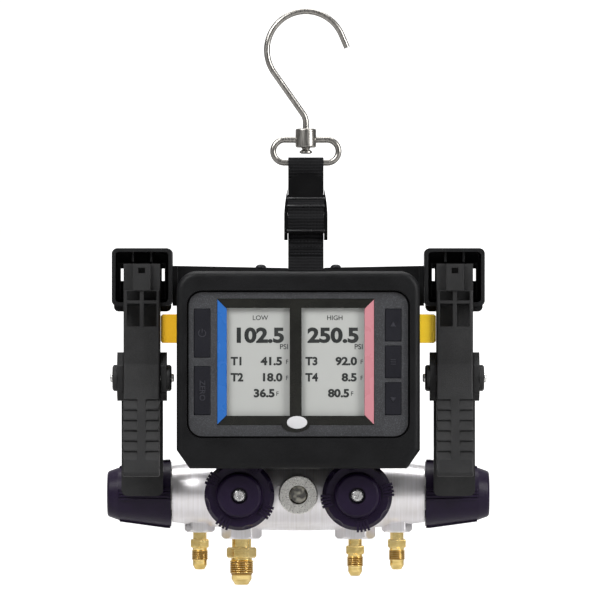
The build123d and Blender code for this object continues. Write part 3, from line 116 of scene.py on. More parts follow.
# %% One finish under way
class Finish:
    """A material with its Principled shader, and methods that add nodes to it."""

    def __init__(self, name, **sockets):
        self.material = bpy.data.materials.new(name)
        self.material.use_nodes = True
        self.tree = self.material.node_tree
        self.shader = self.tree.nodes["Principled BSDF"]
        self.set(**sockets)

    def set(self, **sockets):
        for name, value in sockets.items():
            title = name.replace("_", " ").title().replace("Ior", "IOR")
            plug(self.tree, self.shader.inputs[title], value)

    def node(self, kind, settings=None, out=0, **values):
        return add_node(self.tree, kind, settings, out, **values)

    def place(self, stretch=(1, 1, 1), turn=(0, 0, 0)):
        spot = self.node("TexCoord", out=3)
        return self.node("Mapping", Vector=spot, Scale=stretch, Rotation=turn)

    def noise(self, scale, stretch=(1, 1, 1), detail=3.0):
        return self.node("TexNoise", Vector=self.place(stretch), Scale=scale, Detail=detail)

    def mix(self, factor, first, second):
        return self.node("Mix", {"data_type": "RGBA"}, out=2, i0=factor, i6=first, i7=second)

    def ramp(self, value, low, high):
        """Moves a value that runs from low to high into 0 to 1."""
        return self.node("MapRange", Value=value, i1=low, i2=high)

    def relief(self, height, depth, strength, soften=0.0):
        """Raises the surface by a pattern, and softens its edges where a radius is given."""
        values = {"Height": height, "Distance": depth, "Strength": strength}
        if soften:
            values["Normal"] = self.node("Bevel", {"samples": 6}, Radius=soften)
        self.set(normal=self.node("Bump", **values))


def colour(*rgb):
    return (*rgb, 1.0)


# %% [markdown]
# The moulded plastics are nearly black, and what tells them apart is their grain. A fine noise
# makes the spark-eroded texture, a broad one makes a faint change of gloss, and a Bevel node
# rounds the sharp edges of the mouldings where the light catches them.


# %% Moulded plastics and rubber
GRAIN_SCALE, GRAIN_DEPTH, MOULD_EDGE = 2200, 0.06 * MM, 0.5 * MM


def moulded(name, dark, light, rough, coat=0.0, shine=0.22):
    finish = Finish(name, coat_weight=coat, coat_roughness=0.25, specular_ior_level=shine)
    cloud = finish.ramp(finish.noise(60), 0.35, 0.65)
    speck = finish.ramp(finish.noise(GRAIN_SCALE, detail=1.0), 0.4, 0.62)
    finish.set(base_color=finish.mix(cloud * 0.35 + speck * 0.5, dark, light))
    finish.set(roughness=rough + cloud * 0.08)
    finish.relief(speck, GRAIN_DEPTH, 0.6, MOULD_EDGE)
    return finish.material


def speckled_panel():
    """The grey panel has light flecks in a blue-grey base."""
    finish = Finish("panel_plastic", specular_ior_level=0.4)
    fleck = finish.ramp(finish.noise(1900, detail=2.0), 0.54, 0.66)
    cloud = finish.ramp(finish.noise(45), 0.3, 0.7)
    base = finish.mix(cloud, colour(0.017, 0.0174, 0.0195), colour(0.027, 0.0275, 0.0305))
    finish.set(base_color=finish.mix(fleck * 0.55, base, colour(0.082, 0.086, 0.096)))
    finish.set(roughness=0.5 + fleck * 0.12)
    finish.relief(fleck, 0.05 * MM, 0.5, 0.4 * MM)
    return finish.material


# %% [markdown]
# Three metals are in view. The polished bar shows long soft bands and fine turning lines round it,
# the wire shows drawing lines along it, and the brass shows fresh tool marks. All three use one
# recipe, a noise stretched along the marks, that drives roughness and a very small relief.


# %% Metals
def metal(name, dark, light, rough, stretch=(1, 1, 1), depth=0.004 * MM, spread=0.12, pure=1.0):
    finish = Finish(name, metallic=pure)
    marks = finish.ramp(finish.noise(900, stretch, 2.0), 0.3, 0.7)
    cloud = finish.ramp(finish.noise(40), 0.3, 0.7)
    finish.set(base_color=finish.mix(marks * 0.5 + cloud * 0.5, dark, light))
    finish.set(roughness=rough + marks * spread)
    finish.relief(marks, depth, 0.5, 0.3 * MM)
    return finish.material


# %% [markdown]
# The display is a pale grey liquid crystal face under a clear gloss, and the sight glass is a lens
# with the shade of the well behind it painted into its colour. The webbing is nylon, and two sets
# of waves crossed at right angles stand for its weft and warp, because a woven pattern that fine is
# cheaper as relief than as real threads.


# %% Glass, display and webbing
def display_face():
    """A grey liquid crystal face with a faint pixel grid and a clear gloss."""
    finish = Finish("display_grey", roughness=0.4, coat_weight=0.3, coat_roughness=0.08)
    cloud = finish.ramp(finish.noise(25), 0.3, 0.7)
    dark, light = colour(0.355, 0.362, 0.348), colour(0.372, 0.379, 0.365)
    finish.set(base_color=finish.mix(cloud, dark, light))
    upright = finish.place((1, 1, 1), (math.pi / 2, 0, 0))
    grid = finish.node("TexBrick", {"offset": 0.0}, Vector=upright, Scale=900.0)
    finish.relief(finish.ramp(grid, 0.0, 1.0), 0.004 * MM, 0.3)
    return finish.material


def sight_glass_with_shade():
    """A glass lens whose colour mixes the dark of its well, painted shade, with the pale indicator
    paper seen through it.
    """
    finish = Finish("sight_glass", coat_weight=1.0, coat_roughness=0.03)
    finish.set(roughness=0.08, metallic=0.3)
    swirl = finish.ramp(finish.noise(210, detail=1.0), 0.45, 0.62)
    # The dark colour is painted shade of the well behind the lens; the pale one is the indicator
    # paper.
    well_shade, paper = colour(0.03, 0.026, 0.018), colour(0.42, 0.4, 0.33)
    finish.set(base_color=finish.mix(swirl, well_shade, paper))
    return finish.material


def woven(name, dark, light):
    """Nylon webbing: cross ribs of weft under fine warp threads."""
    finish = Finish(name, specular_ior_level=0.12, sheen_weight=0.03, sheen_roughness=0.4)
    across, along = {"bands_direction": "Z"}, {"bands_direction": "X"}
    ribs = finish.node("TexWave", across, Vector=finish.place(), Scale=160.0, Distortion=1.2)
    warp = finish.node("TexWave", along, Vector=finish.place(), Scale=330.0, Distortion=0.6)
    fuzz = finish.ramp(finish.noise(1800), 0.4, 0.65)
    weave = ribs * 0.6 + warp * 0.3 + fuzz * 0.2
    finish.set(base_color=finish.mix(weave, dark, light))
    finish.set(roughness=0.62 + fuzz * 0.2)
    finish.relief(weave, 0.35 * MM, 0.9)
    return finish.material


def flat_gloss(name, base, other, rough):
    """Smooth printed or lacquered plastic, with hardly any grain."""
    finish = Finish(name, coat_weight=0.15, coat_roughness=0.12, specular_ior_level=0.3)
    cloud = finish.ramp(finish.noise(80), 0.3, 0.7)
    finish.set(base_color=finish.mix(cloud, base, other))
    finish.set(roughness=rough + cloud * 0.05)
    finish.relief(finish.noise(3000), 0.006 * MM, 0.3, 0.2 * MM)
    return finish.material


# %% [markdown]
# Every slot of the record gets one finish. The plastics differ by a few hundredths of grey and by
# their shine, as real mouldings of one colour do, and the metals are told apart by tint. Tables of
# values keep them side by side, so that one is easily matched to the next. Two nodes have a finish
# of their own: black screws on the bracket, and the plug at the right, whose brighter yellow is
# painted light on the same plastic as the left plug.

# %% The finish of every slot
# Each row: dark colour, light colour, roughness, and for plastics coat and shine.
plastics = {
    "case_plastic": ((0.003, 0.0031, 0.0034), (0.007, 0.0072, 0.008), 0.4, 0.0, 0.15),
    "bracket_plastic": ((0.004, 0.0041, 0.0045), (0.009, 0.0093, 0.01), 0.42, 0.0, 0.18),
    "clamp_plastic": ((0.01, 0.01, 0.0103), (0.02, 0.02, 0.0205), 0.45, 0.0, 0.26),
    "buckle_plastic": ((0.0015, 0.0015, 0.0017), (0.003, 0.003, 0.0034), 0.28, 0.0, 0.12),
    "knob_plastic": ((0.008, 0.004, 0.015), (0.014, 0.0075, 0.026), 0.34, 0.04, 0.14),
    "plug_yellow": ((0.78, 0.42, 0.012), (0.9, 0.52, 0.02), 0.42, 0.0, 0.22),
    # A brighter copy of the plug yellow, painted light for the plug at the right.
    "lit_plug_yellow": ((0.95, 0.6, 0.012), (1.0, 0.68, 0.02), 0.38, 0.0, 0.5),
    "key_rubber": ((0.006, 0.006, 0.009), (0.011, 0.011, 0.015), 0.5, 0.0, 0.15),
    "pad_rubber": ((0.01, 0.01, 0.01), (0.02, 0.02, 0.02), 0.7, 0.0, 0.22),
    "board_green": ((0.01, 0.12, 0.04), (0.02, 0.18, 0.07), 0.35, 0.0, 0.22),
    "cell_wrap": ((0.05, 0.05, 0.06), (0.1, 0.1, 0.12), 0.35, 0.0, 0.22),
}
finishes = {
    name: moulded(name, colour(*dark), colour(*light), rough, coat, shine)
    for name, (dark, light, rough, coat, shine) in plastics.items()
}
glosses = {
    "screen_black": ((0.008, 0.008, 0.007), (0.012, 0.012, 0.01), 0.16),
    "stripe_blue": ((0.018, 0.107, 0.36), (0.019, 0.11, 0.37), 0.25),
    "stripe_red": ((0.44, 0.18, 0.205), (0.45, 0.185, 0.212), 0.25),
}
for name, (base, other, rough) in glosses.items():
    finishes[name] = flat_gloss(name, colour(*base), colour(*other), rough)
metals = {
    "wire_steel": ((0.2, 0.192, 0.178), (0.4, 0.385, 0.36), 0.24),
    "body_aluminium": ((0.68, 0.655, 0.64), (0.88, 0.865, 0.9), 0.3),
    "ring_steel": ((0.56, 0.55, 0.52), (0.8, 0.79, 0.76), 0.24),
    "screw_steel": ((0.62, 0.62, 0.61), (0.8, 0.8, 0.79), 0.2),
    "black_screw": ((0.012, 0.012, 0.013), (0.03, 0.03, 0.032), 0.35),
    # A darker brass, painted shade for the lower flanks of the threads.
    "brass_flank_shade": ((0.3, 0.17, 0.045), (0.42, 0.26, 0.08), 0.35),
    "brass": ((0.66, 0.45, 0.12), (0.98, 0.78, 0.36), 0.17),
}
turning = {"stretch": (1, 0.03, 0.03), "depth": 0.002 * MM, "spread": 0.1, "pure": 0.85}
marks = {
    "wire_steel": {"stretch": (1, 1, 0.08), "depth": 0.01 * MM},
    "body_aluminium": turning,
    "brass": {"stretch": (0.2, 0.2, 1), "depth": 0.006 * MM, "spread": 0.08},
}
for name, (dark, light, rough) in metals.items():
    finishes[name] = metal(name, colour(*dark), colour(*light), rough, **marks.get(name, {}))
finishes["panel_plastic"] = speckled_panel()
finishes["display_grey"] = display_face()
finishes["sight_glass"] = sight_glass_with_shade()
finishes["webbing"] = woven("webbing", colour(0.001, 0.001, 0.0012), colour(0.01, 0.01, 0.0112))

# The right plug takes the brighter yellow as painted light.
OWN_FINISH = {"bracket_screws": "black_screw", "right_sensor_plug": "lit_plug_yellow"}
for part in frame["record"]["subparts"]:
    piece = nodes[part["node"]]
    piece.data.materials.clear()
    finish = OWN_FINISH.get(part["node"], part["material_slot"])
    piece.data.materials.append(finishes[finish])
print("finishes:", len(finishes))

# %% [markdown]
# Most turned pieces can start as one circle that is pushed along an axis and widened or narrowed
# at every step, as a lathe hand would read the drawing. Extrude and resize do that in edit mode,
# so each fitting is a list of heights and radii, and its threads are ridges in that list.


def select_none():
    if bpy.context.object and bpy.context.object.mode != "OBJECT":
        bpy.ops.object.mode_set(mode="OBJECT")
    bpy.ops.object.select_all(action="DESELECT")


def joined(pieces):
    """Joins pieces into the first of them."""
    select_none()
    for piece in pieces:
        piece.select_set(True)
    bpy.context.view_layer.objects.active = pieces[0]
    bpy.ops.object.join()
    return pieces[0]


def settle(piece, name, body, finish, smooth=35):
    """Names a piece, bakes its place into its mesh, gives it a finish and puts it on its body."""
    select_none()
    piece.select_set(True)
    bpy.context.view_layer.objects.active = piece
    bpy.ops.object.transform_apply(location=True, rotation=True, scale=True)
    bpy.ops.object.mode_set(mode="EDIT")
    bpy.ops.mesh.select_all(action="SELECT")
    bpy.ops.mesh.remove_doubles(threshold=MERGE)
    bpy.ops.mesh.normals_make_consistent(inside=False)
    bpy.ops.object.mode_set(mode="OBJECT")
    if smooth:
        bpy.ops.object.shade_smooth_by_angle(angle=math.radians(smooth))
    piece.name = piece.data.name = name
    piece.data.materials.clear()
    piece.data.materials.append(finishes[finish])
    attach(piece, body)
    return piece


def turned(outline, centre, sides=48):
    """Pushes a circle down from its first height through every (height, radius) of the outline."""
    select_none()
    first_height, first_radius = outline[0]
    spot = (centre[0], centre[1], centre[2] + first_height)
    bpy.ops.mesh.primitive_circle_add(
        vertices=sides, radius=first_radius, fill_type="NGON", location=spot
    )
    bpy.ops.object.mode_set(mode="EDIT")
    height, radius = first_height, first_radius
    for next_height, next_radius in outline[1:]:
        step = (0, 0, next_height - height)
        bpy.ops.mesh.extrude_region_move(TRANSFORM_OT_translate={"value": step})
        factor = next_radius / radius
        axis = (centre[0], centre[1], centre[2] + next_height)
        bpy.ops.transform.resize(value=(factor, factor, 1), center_override=axis)
        height, radius = next_height, next_radius
    bpy.ops.object.mode_set(mode="OBJECT")
    return bpy.context.object


def thread_ridges(top, low, crest, root, pitch):
    """Heights and radii of a thread's ridges from top to low, both below zero."""
    rows = [(top, root)]
    height = top
    while height - pitch >= low - 10 * MERGE:
        rows += [(height - pitch * 0.4, crest), (height - pitch * 0.6, crest)]
        rows += [(height - pitch, root)]
        height -= pitch
    return rows


# %% [markdown]
# The hoses screw on to four brass flare fittings. Each is turned from hexagon bar: a plain neck
# goes into the manifold, the nut takes the spanner, and a rolled thread ends in a coned nose with
# a bore through it. One of the four is larger, for the wider hose. The lower flanks of the threads
# get a darker brass as painted shade, because that is what makes the ridges show from a distance.

# %% Four flare fittings with real threads
SMALL_D, LARGE_D = 11.1 * MM, 15.9 * MM
SMALL_PITCH, LARGE_PITCH = 1.27 * MM, 1.41 * MM
NOSE_H, THREAD_H, NUT_H, GROOVE_H = 5.0 * MM, 8.0 * MM, 5.6 * MM, 1.2 * MM
LARGE_STRETCH = 1.25
BORE_DEPTH = 6 * MM
# Radii as shares of the thread's diameter, and a ridge's height as a share of the pitch.
BORE, NECK, GROOVE, SHOULDER, CONE_TOP, CONE_LOW, LIP = 0.22, 0.4, 0.43, 0.41, 0.42, 0.285, 0.265
RIDGE, CONE_SHARE, NUT_ACROSS = 0.66, 0.35, 1.22
NUT_INSET, NUT_CORNER, NUT_DROP = 0.09, 0.95, 0.1
fittings = {}


def flare_outline(high_z, low_z, nut_low, thread_top, nose_top, thread, pitch, cone_h):
    """Heights and radii of one fitting from its neck down to its nose and back up the bore."""
    crest, bore = thread / 2, thread * BORE
    root = crest - RIDGE * pitch
    cone_top = nose_top - cone_h
    rows = [(high_z, bore), (high_z, thread * NECK), (nut_low, thread * NECK)]
    rows += [(nut_low, thread * GROOVE), (thread_top, thread * GROOVE)]
    rows += thread_ridges(thread_top - 0.3 * MM, nose_top + 0.4 * MM, crest, root, pitch)
    rows += [(nose_top, thread * SHOULDER), (cone_top, thread * CONE_TOP)]
    rows += [(cone_top - 0.5 * MM, thread * SHOULDER), (low_z + 0.3 * MM, thread * CONE_LOW)]
    rows += [(low_z, thread * LIP), (low_z, bore), (low_z + BORE_DEPTH, bore), (high_z, bore)]
    return rows


def flare(node, body, large):
    thread = LARGE_D if large else SMALL_D
    pitch = LARGE_PITCH if large else SMALL_PITCH
    stretch = LARGE_STRETCH if large else 1.0
    low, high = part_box(node)
    middle_x, middle_y = (low.x + high.x) / 2, (low.y + high.y) / 2
    nose_top = low.z + NOSE_H * stretch
    thread_top = nose_top + THREAD_H * stretch
    nut_low = thread_top + GROOVE_H
    nut_top = nut_low + NUT_H * stretch
    cone_h = NOSE_H * stretch * CONE_SHARE
    outline = flare_outline(high.z, low.z, nut_low, thread_top, nose_top, thread, pitch, cone_h)
    shaft = turned(outline, (middle_x, middle_y, 0))
    across = thread * NUT_ACROSS
    select_none()
    bpy.ops.mesh.primitive_cylinder_add(
        vertices=6,
        radius=across / 2,
        depth=nut_top - nut_low,
        location=(middle_x, middle_y, (nut_top + nut_low) / 2),
        rotation=(0, 0, math.radians(30 if large else 0)),
    )
    nut = bpy.context.object
    round_the_nut(nut, across / 2)
    made = settle(joined([shaft, nut]), node + "_turned", body, "brass", smooth=28)
    made.data.materials.append(finishes["brass_flank_shade"])
    # The lower flanks of the thread take the darker brass as painted shade.
    for face in made.data.polygons:
        shaded_flank = nose_top < face.center.z < thread_top and face.normal.z < -0.3
        face.material_index = int(shaded_flank)
    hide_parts(node)
    fittings[node] = len(made.data.polygons)


def round_the_nut(nut, radius):
    """A nut's corners are turned off at both ends, which leaves curved arcs on the flats."""
    select_none()
    nut.select_set(True)
    bpy.context.view_layer.objects.active = nut
    bpy.ops.object.mode_set(mode="EDIT")
    bpy.ops.mesh.select_all(action="DESELECT")
    bpy.ops.object.mode_set(mode="OBJECT")
    for face in nut.data.polygons:
        face.select = abs(face.normal.z) > 0.9
    bpy.ops.object.mode_set(mode="EDIT")
    bpy.ops.mesh.inset(thickness=radius * NUT_INSET, use_individual=True)
    bpy.ops.object.mode_set(mode="OBJECT")
    height = max(v.co.z for v in nut.data.vertices)
    for vertex in nut.data.vertices:
        if math.hypot(vertex.co.x, vertex.co.y) > radius * NUT_CORNER:
            vertex.co.z = math.copysign(height - radius * NUT_DROP, vertex.co.z)


flare("left_outer_flare", "unit", False)
flare("left_inner_flare", "unit", True)
flare("right_inner_flare", "unit", False)
flare("right_outer_flare", "unit", False)
print("faces of each fitting:", fittings)

# %% [markdown]
# The strap is nylon webbing. Each band is one length folded back on itself round two bars, so it
# is drawn as a ribbon from the side: a path of points goes round both bars, is pushed across to
# the strap's width, and Solidify gives it the cloth's thickness. Loose weave shows in the material,
# and the sewn bars are small stitches of thread laid on top.

# %% A strip of webbing along a path
WEB_W, WEB_T = 23 * MM, 1.5 * MM


def strip(path, width, thickness, rim_width):
    """A band of cloth across the strap, along a side path of (y, z) points."""
    select_none()
    bpy.ops.mesh.primitive_plane_add(size=width, location=(0, 0, 0))
    band = bpy.context.object
    for vertex in band.data.vertices:
        place = path[0] if vertex.co.y < 0 else path[1]
        vertex.co = (vertex.co.x, *place)
    for item in (*band.data.vertices, *band.data.edges, *band.data.polygons):
        item.select = False
    for edge in band.data.edges:
        ends = (band.data.vertices[v].co.yz for v in edge.vertices)
        edge.select = all((end - Vector(path[1])).length < MERGE for end in ends)
    bpy.ops.object.mode_set(mode="EDIT")
    for here, there in zip(path[1:], path[2:]):
        step = (0, there[0] - here[0], there[1] - here[1])
        bpy.ops.mesh.extrude_region_move(TRANSFORM_OT_translate={"value": step})
    bpy.ops.mesh.select_all(action="SELECT")
    bpy.ops.mesh.remove_doubles(threshold=10 * MERGE)
    bpy.ops.object.mode_set(mode="OBJECT")
    thick = band.modifiers.new("cloth", "SOLIDIFY")
    thick.thickness, thick.offset = thickness, 0
    rim = band.modifiers.new("soft rim", "BEVEL")
    rim.width, rim.segments, rim.limit_method = rim_width, 2, "ANGLE"
    for modifier in (thick, rim):
        bpy.ops.object.modifier_apply(modifier=modifier.name)
    return band


# %% Two bands of webbing
# How far the cloth wraps past half a turn, in half turns, how far off it lies flat, and its slack.
WRAP, NECK_H, SLACK = 0.075, 7 * MM, 0.05 * MM


def teardrop(bar_z, bar_r, inward, steps=14):
    """Side points round one bar, from the front layer to the back one. Inward is +1 or -1."""
    middle = bar_r + WEB_T / 2 + SLACK
    neck = bar_z + inward * (bar_r + NECK_H)
    points = []
    for step in range(steps + 1):
        angle = math.pi * ((1 + 2 * WRAP) * step / steps - WRAP)
        points.append((-math.cos(angle) * middle, bar_z - inward * math.sin(angle) * middle))
    return [(-WEB_T / 2, neck)] + points + [(WEB_T / 2, neck)]


def webbing(node, top_bar_z, top_bar_r, low_bar_z, low_bar_r):
    front_down = teardrop(low_bar_z, low_bar_r, 1)
    back_up = teardrop(top_bar_z, top_bar_r, -1)[::-1]
    band = strip(front_down + back_up, WEB_W, WEB_T, 0.35 * MM)
    made = settle(band, node + "_ribbon", "strap", "webbing", smooth=50)
    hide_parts(node)
    return made


upper = webbing("upper_webbing", -96.5 * MM, 2.0 * MM, -123.5 * MM, 1.6 * MM)
lower = webbing("lower_webbing", -136.5 * MM, 1.6 * MM, -167.5 * MM, 2.5 * MM)
print("webbing faces:", len(upper.data.polygons), len(lower.data.polygons))

# %% [markdown]
# The free end of the strap lies over the buckle's ladder between its cheeks. It is one more ribbon,
# with the slight waves that stiff webbing keeps after it has been threaded. The sewn bars that hold
# each loop closed are short stitches, one stitch modelled and the rest copied along the row.

# %% The strap's free end and the stitches
TAIL_W, TAIL_T = 23.5 * MM, 1.3 * MM
TAIL_PATH = [(-5.9, -120.6), (-6.2, -121.9), (-7.0, -123.3), (-7.3, -124.3), (-6.7, -125.8)]
TAIL_PATH += [(-6.0, -127.8), (-6.1, -129.8), (-6.9, -131.6), (-7.3, -132.8), (-6.9, -134.4)]
TAIL_PATH += [(-6.1, -136.6), (-5.9, -140.4)]
tail = strip([(y * MM, z * MM) for y, z in TAIL_PATH], TAIL_W, TAIL_T, 0.3 * MM)
settle(tail, "webbing_tail", "strap", "webbing", smooth=50)

STITCH_R, STITCH_L, STITCH_STEP = 0.3 * MM, 1.5 * MM, 2.3 * MM
STITCH_ROWS = (-107.5, -111.0, -147.5, -151.0, -155.5)


def stitch_row(z, name, count=9):
    """A row of thread stitches across the strap, on its front and its back."""
    select_none()
    lying = (0, math.pi / 2, 0)
    bpy.ops.mesh.primitive_cylinder_add(vertices=8, radius=STITCH_R, depth=STITCH_L, rotation=lying)
    first = bpy.context.object
    soft = first.modifiers.new("soft ends", "BEVEL")
    soft.width, soft.segments = 0.18 * MM, 2
    bpy.ops.object.modifier_apply(modifier=soft.name)
    copies = []
    for face_y in (-WEB_T, WEB_T):
        for step in range(count):
            copy = first.copy()
            copy.data = first.data.copy()
            copy.location = ((step - (count - 1) / 2) * STITCH_STEP, face_y, z)
            bpy.context.collection.objects.link(copy)
            copies.append(copy)
    bpy.data.objects.remove(first)
    settle(joined(copies), name, "strap", "thread", smooth=40)


finishes["thread"] = woven("thread", colour(0.006, 0.006, 0.0066), colour(0.03, 0.03, 0.033))
for number, place in enumerate(STITCH_ROWS):
    stitch_row(place * MM, f"stitches_{number + 1}")
print("tail faces:", len(tail.data.polygons))

# %% [markdown]
# The buckle's own crossbars show over the strap's free end as thin shiny lines. Each is a short
# round bar with softened ends, and the webbing runs under it. A real bar catches the light along
# its rounded top, which a flat painted line would not do from the side.

# %% Crossbars of the buckle
BAR_PLACES = ((-6.4, -119.7), (-7.7, -124.6), (-6.3, -140.7))
BAR_R, BAR_L = 0.75 * MM, 24.6 * MM
crossbars = []
for bar_y, bar_z in BAR_PLACES:
    select_none()
    bpy.ops.mesh.primitive_cylinder_add(
        vertices=24,
        radius=BAR_R,
        depth=BAR_L,
        location=(0, bar_y * MM, bar_z * MM),
        rotation=(0, math.pi / 2, 0),
    )
    bar = bpy.context.object
    soft = bar.modifiers.new("soft ends", "BEVEL")
    soft.width, soft.segments, soft.limit_method = 0.3 * MM, 2, "ANGLE"
    bpy.ops.object.modifier_apply(modifier=soft.name)
    crossbars.append(bar)
dark, light = colour(0.006, 0.006, 0.0066), colour(0.012, 0.012, 0.013)
finishes["bar_gloss"] = moulded("bar_gloss", dark, light, 0.22, shine=0.5)
settle(joined(crossbars), "buckle_crossbars", "strap", "bar_gloss", smooth=40)
print("crossbars:", len(BAR_PLACES))

# %% [markdown]
# A dark line of painted shadow runs round the panel, where it meets the housing. It is a plane with
# its corners rounded in edit mode, inset to a narrow frame, and given a little thickness. The
# panel's own box gives its size, so that the painted shadow follows the panel.

# %% Painted shadow round the panel
PANEL_CORNER, SHADOW_LINE_W, SHADOW_LINE_T = 10 * MM, 1.0 * MM, 0.4 * MM
low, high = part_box("front_panel")
select_none()
bpy.ops.mesh.primitive_plane_add(size=1)
seam_shadow = bpy.context.object
seam_shadow.scale = (high.x - low.x, high.z - low.z, 1)
bpy.ops.object.transform_apply(location=False, rotation=False, scale=True)
bpy.ops.object.mode_set(mode="EDIT")
bpy.ops.mesh.select_all(action="SELECT")
bpy.ops.mesh.bevel(offset=PANEL_CORNER, segments=12, affect="VERTICES")
bpy.ops.mesh.inset(thickness=SHADOW_LINE_W)
bpy.ops.mesh.delete(type="FACE")
bpy.ops.object.mode_set(mode="OBJECT")
thick = seam_shadow.modifiers.new("thickness", "SOLIDIFY")
thick.thickness, thick.offset = SHADOW_LINE_T, 0
bpy.ops.object.modifier_apply(modifier=thick.name)
seam_shadow.rotation_euler = (math.pi / 2, 0, 0)
seam_shadow.location = ((low.x + high.x) / 2, low.y, (low.z + high.z) / 2)
# Near black: painted shadow in the line round the panel.
dark, light = colour(0.0006, 0.0006, 0.0007), colour(0.0012, 0.0012, 0.0014)
finishes["seam_shadow"] = moulded("seam_shadow", dark, light, 0.6, shine=0.05)
settle(seam_shadow, "panel_seam_shadow", "unit", "seam_shadow")
print("seam round a panel of", [round(side / MM, 1) for side in (high.x - low.x, high.z - low.z)])

# %% [markdown]
# The figures on a liquid crystal face are thin dark segments just under the glass. Text objects
# give the shapes, a small offset makes them bold, and they become mesh before they are laid on the
# face. The values are plain readings of pressure and temperature made up for this lesson.

# %% Readings on the display
SCREEN_X, SCREEN_Z, FACE_Y = -6.6 * MM, -225.5 * MM, -41.7 * MM
CAP_SHARE, INK_T = 0.7, 0.03
READINGS = {
    "left": ("LOW", "102.5", (("T1", "41.5"), ("T2", "18.0")), "36.5"),
    "right": ("HIGH", "250.5", (("T3", "92.0"), ("T4", "8.5")), "80.5"),
}


def words(text, x, z, cap, align="CENTER", bold=0.02, stretch=1.0):
    """Text as a thin mesh. Its place, capitals and weight are in millimetres."""
    select_none()
    bpy.ops.object.text_add(rotation=(math.pi / 2, 0, 0))
    made = bpy.context.object
    made.data.body = text
    made.data.size = cap / CAP_SHARE
    made.data.align_x = align
    made.data.align_y = "CENTER"
    made.data.offset = bold
    made.data.extrude = INK_T
    made.data.resolution_u = 4
    bpy.ops.object.convert(target="MESH")
    made = bpy.context.object
    made.scale = (MM * stretch, MM, MM)
    made.location = (x * MM, 0, z * MM)
    return made


def readings(side, middle_x):
    label, large, rows, foot = READINGS[side]
    pieces = [
        words(label, 1.2, 28.2, 3.0, bold=0.04),
        words(large, 16.8, 16.6, 9.0, "RIGHT", bold=0.55, stretch=1.16),
        words("PSI", 19.4, 9.6, 3.3, "RIGHT", bold=0.03),
        words(foot, 10.6, -20.4, 4.9, "RIGHT", bold=0.3, stretch=1.14),
        words("F", 13.2, -20.6, 2.8, "RIGHT"),
    ]
    for row, (name, value) in enumerate(rows):
        z = 0.2 - 10.4 * row
        pieces.append(words(name, -17.6, z, 5.0, "LEFT", bold=0.3))
        pieces.append(words(value, 15.4, z, 4.9, "RIGHT", bold=0.3, stretch=1.14))
        pieces.append(words("F", 19.4, z - 0.3, 2.8, "RIGHT"))
    whole = joined(pieces)
    bpy.ops.object.transform_apply(location=True, rotation=True, scale=True)
    whole.location = (middle_x, FACE_Y - INK_T * MM, SCREEN_Z)
    return settle(whole, side + "_readings", "unit", "ink", smooth=0)


finishes["ink"] = flat_gloss("ink", colour(0.016, 0.018, 0.018), colour(0.024, 0.026, 0.025), 0.4)
figures = [readings("left", SCREEN_X - 24 * MM), readings("right", SCREEN_X + 24 * MM)]
print("faces of the readings:", [len(made.data.polygons) for made in figures])

# %% [markdown]
# The five rubber keys carry plain raised signs. A power sign is a torus with its top cut away and
# a bar, arrows are three-sided cones pressed flat, the list sign is three small bars, and the
# fifth key's word is text turned to read downwards. Each sign moves with its own key.

# %% Raised signs on the keys
KEY_FRONT = -45.3 * MM
dark, light = colour(0.02, 0.02, 0.026), colour(0.034, 0.034, 0.042)
finishes["key_mark"] = moulded("key_mark", dark, light, 0.45)
SIGN_H, RING_R, RING_T = 0.35 * MM, 2.3 * MM, 0.3 * MM


def flatten(sign, x, z, name, body):
    """Presses a sign flat and sets it into the key's face."""
    select_none()
    sign.select_set(True)
    bpy.context.view_layer.objects.active = sign
    bpy.ops.object.transform_apply(location=True, rotation=True, scale=True)
    reach = max(abs(v.co.y) for v in sign.data.vertices)
    sign.scale = (1, SIGN_H / reach, 1)
    sign.location = (x, KEY_FRONT, z)
    settle(sign, name, body, "key_mark", smooth=40)


def bars(places, size):
    """Small bevelled bars for a sign, one at each (x, z). All is in millimetres."""
    made = []
    for x, z in places:
        select_none()
        bpy.ops.mesh.primitive_cube_add(size=1, location=(x * MM, 0, z * MM))
        piece = bpy.context.object
        piece.scale = (size[0] * MM, MM, size[1] * MM)
        bpy.ops.object.transform_apply(location=True, rotation=True, scale=True)
        edge = piece.modifiers.new("edge", "BEVEL")
        edge.width, edge.segments = 0.15 * MM, 2
        bpy.ops.object.modifier_apply(modifier=edge.name)
        made.append(piece)
    return made


def power_sign():
    select_none()
    bpy.ops.mesh.primitive_torus_add(
        major_radius=RING_R,
        minor_radius=RING_T,
        major_segments=40,
        minor_segments=8,
        rotation=(math.pi / 2, 0, 0),
    )
    ring = bpy.context.object
    bpy.ops.object.transform_apply(location=True, rotation=True, scale=True)
    bpy.ops.object.mode_set(mode="EDIT")
    bpy.ops.mesh.select_all(action="DESELECT")
    bpy.ops.object.mode_set(mode="OBJECT")
    for face in ring.data.polygons:
        face.select = face.center.z > 1.2 * MM and abs(face.center.x) < 1.2 * MM
    bpy.ops.object.mode_set(mode="EDIT")
    bpy.ops.mesh.delete(type="FACE")
    bpy.ops.mesh.select_all(action="SELECT")
    bpy.ops.mesh.fill_holes(sides=0)
    bpy.ops.object.mode_set(mode="OBJECT")
    return joined([ring] + bars([(0, 1.5)], (0.6, 2.6)))


def arrow_sign(up):
    select_none()
    bpy.ops.mesh.primitive_cone_add(vertices=3, radius1=2.2 * MM, radius2=1.9 * MM, depth=MM)
    arrow = bpy.context.object
    arrow.rotation_euler = (math.pi / 2, 0, 0)
    bpy.ops.object.transform_apply(location=True, rotation=True, scale=True)
    pointing = max(arrow.data.vertices, key=lambda v: abs(v.co.z)).co.z > 0
    if pointing != up:
        arrow.rotation_euler = (0, math.pi, 0)
    return arrow


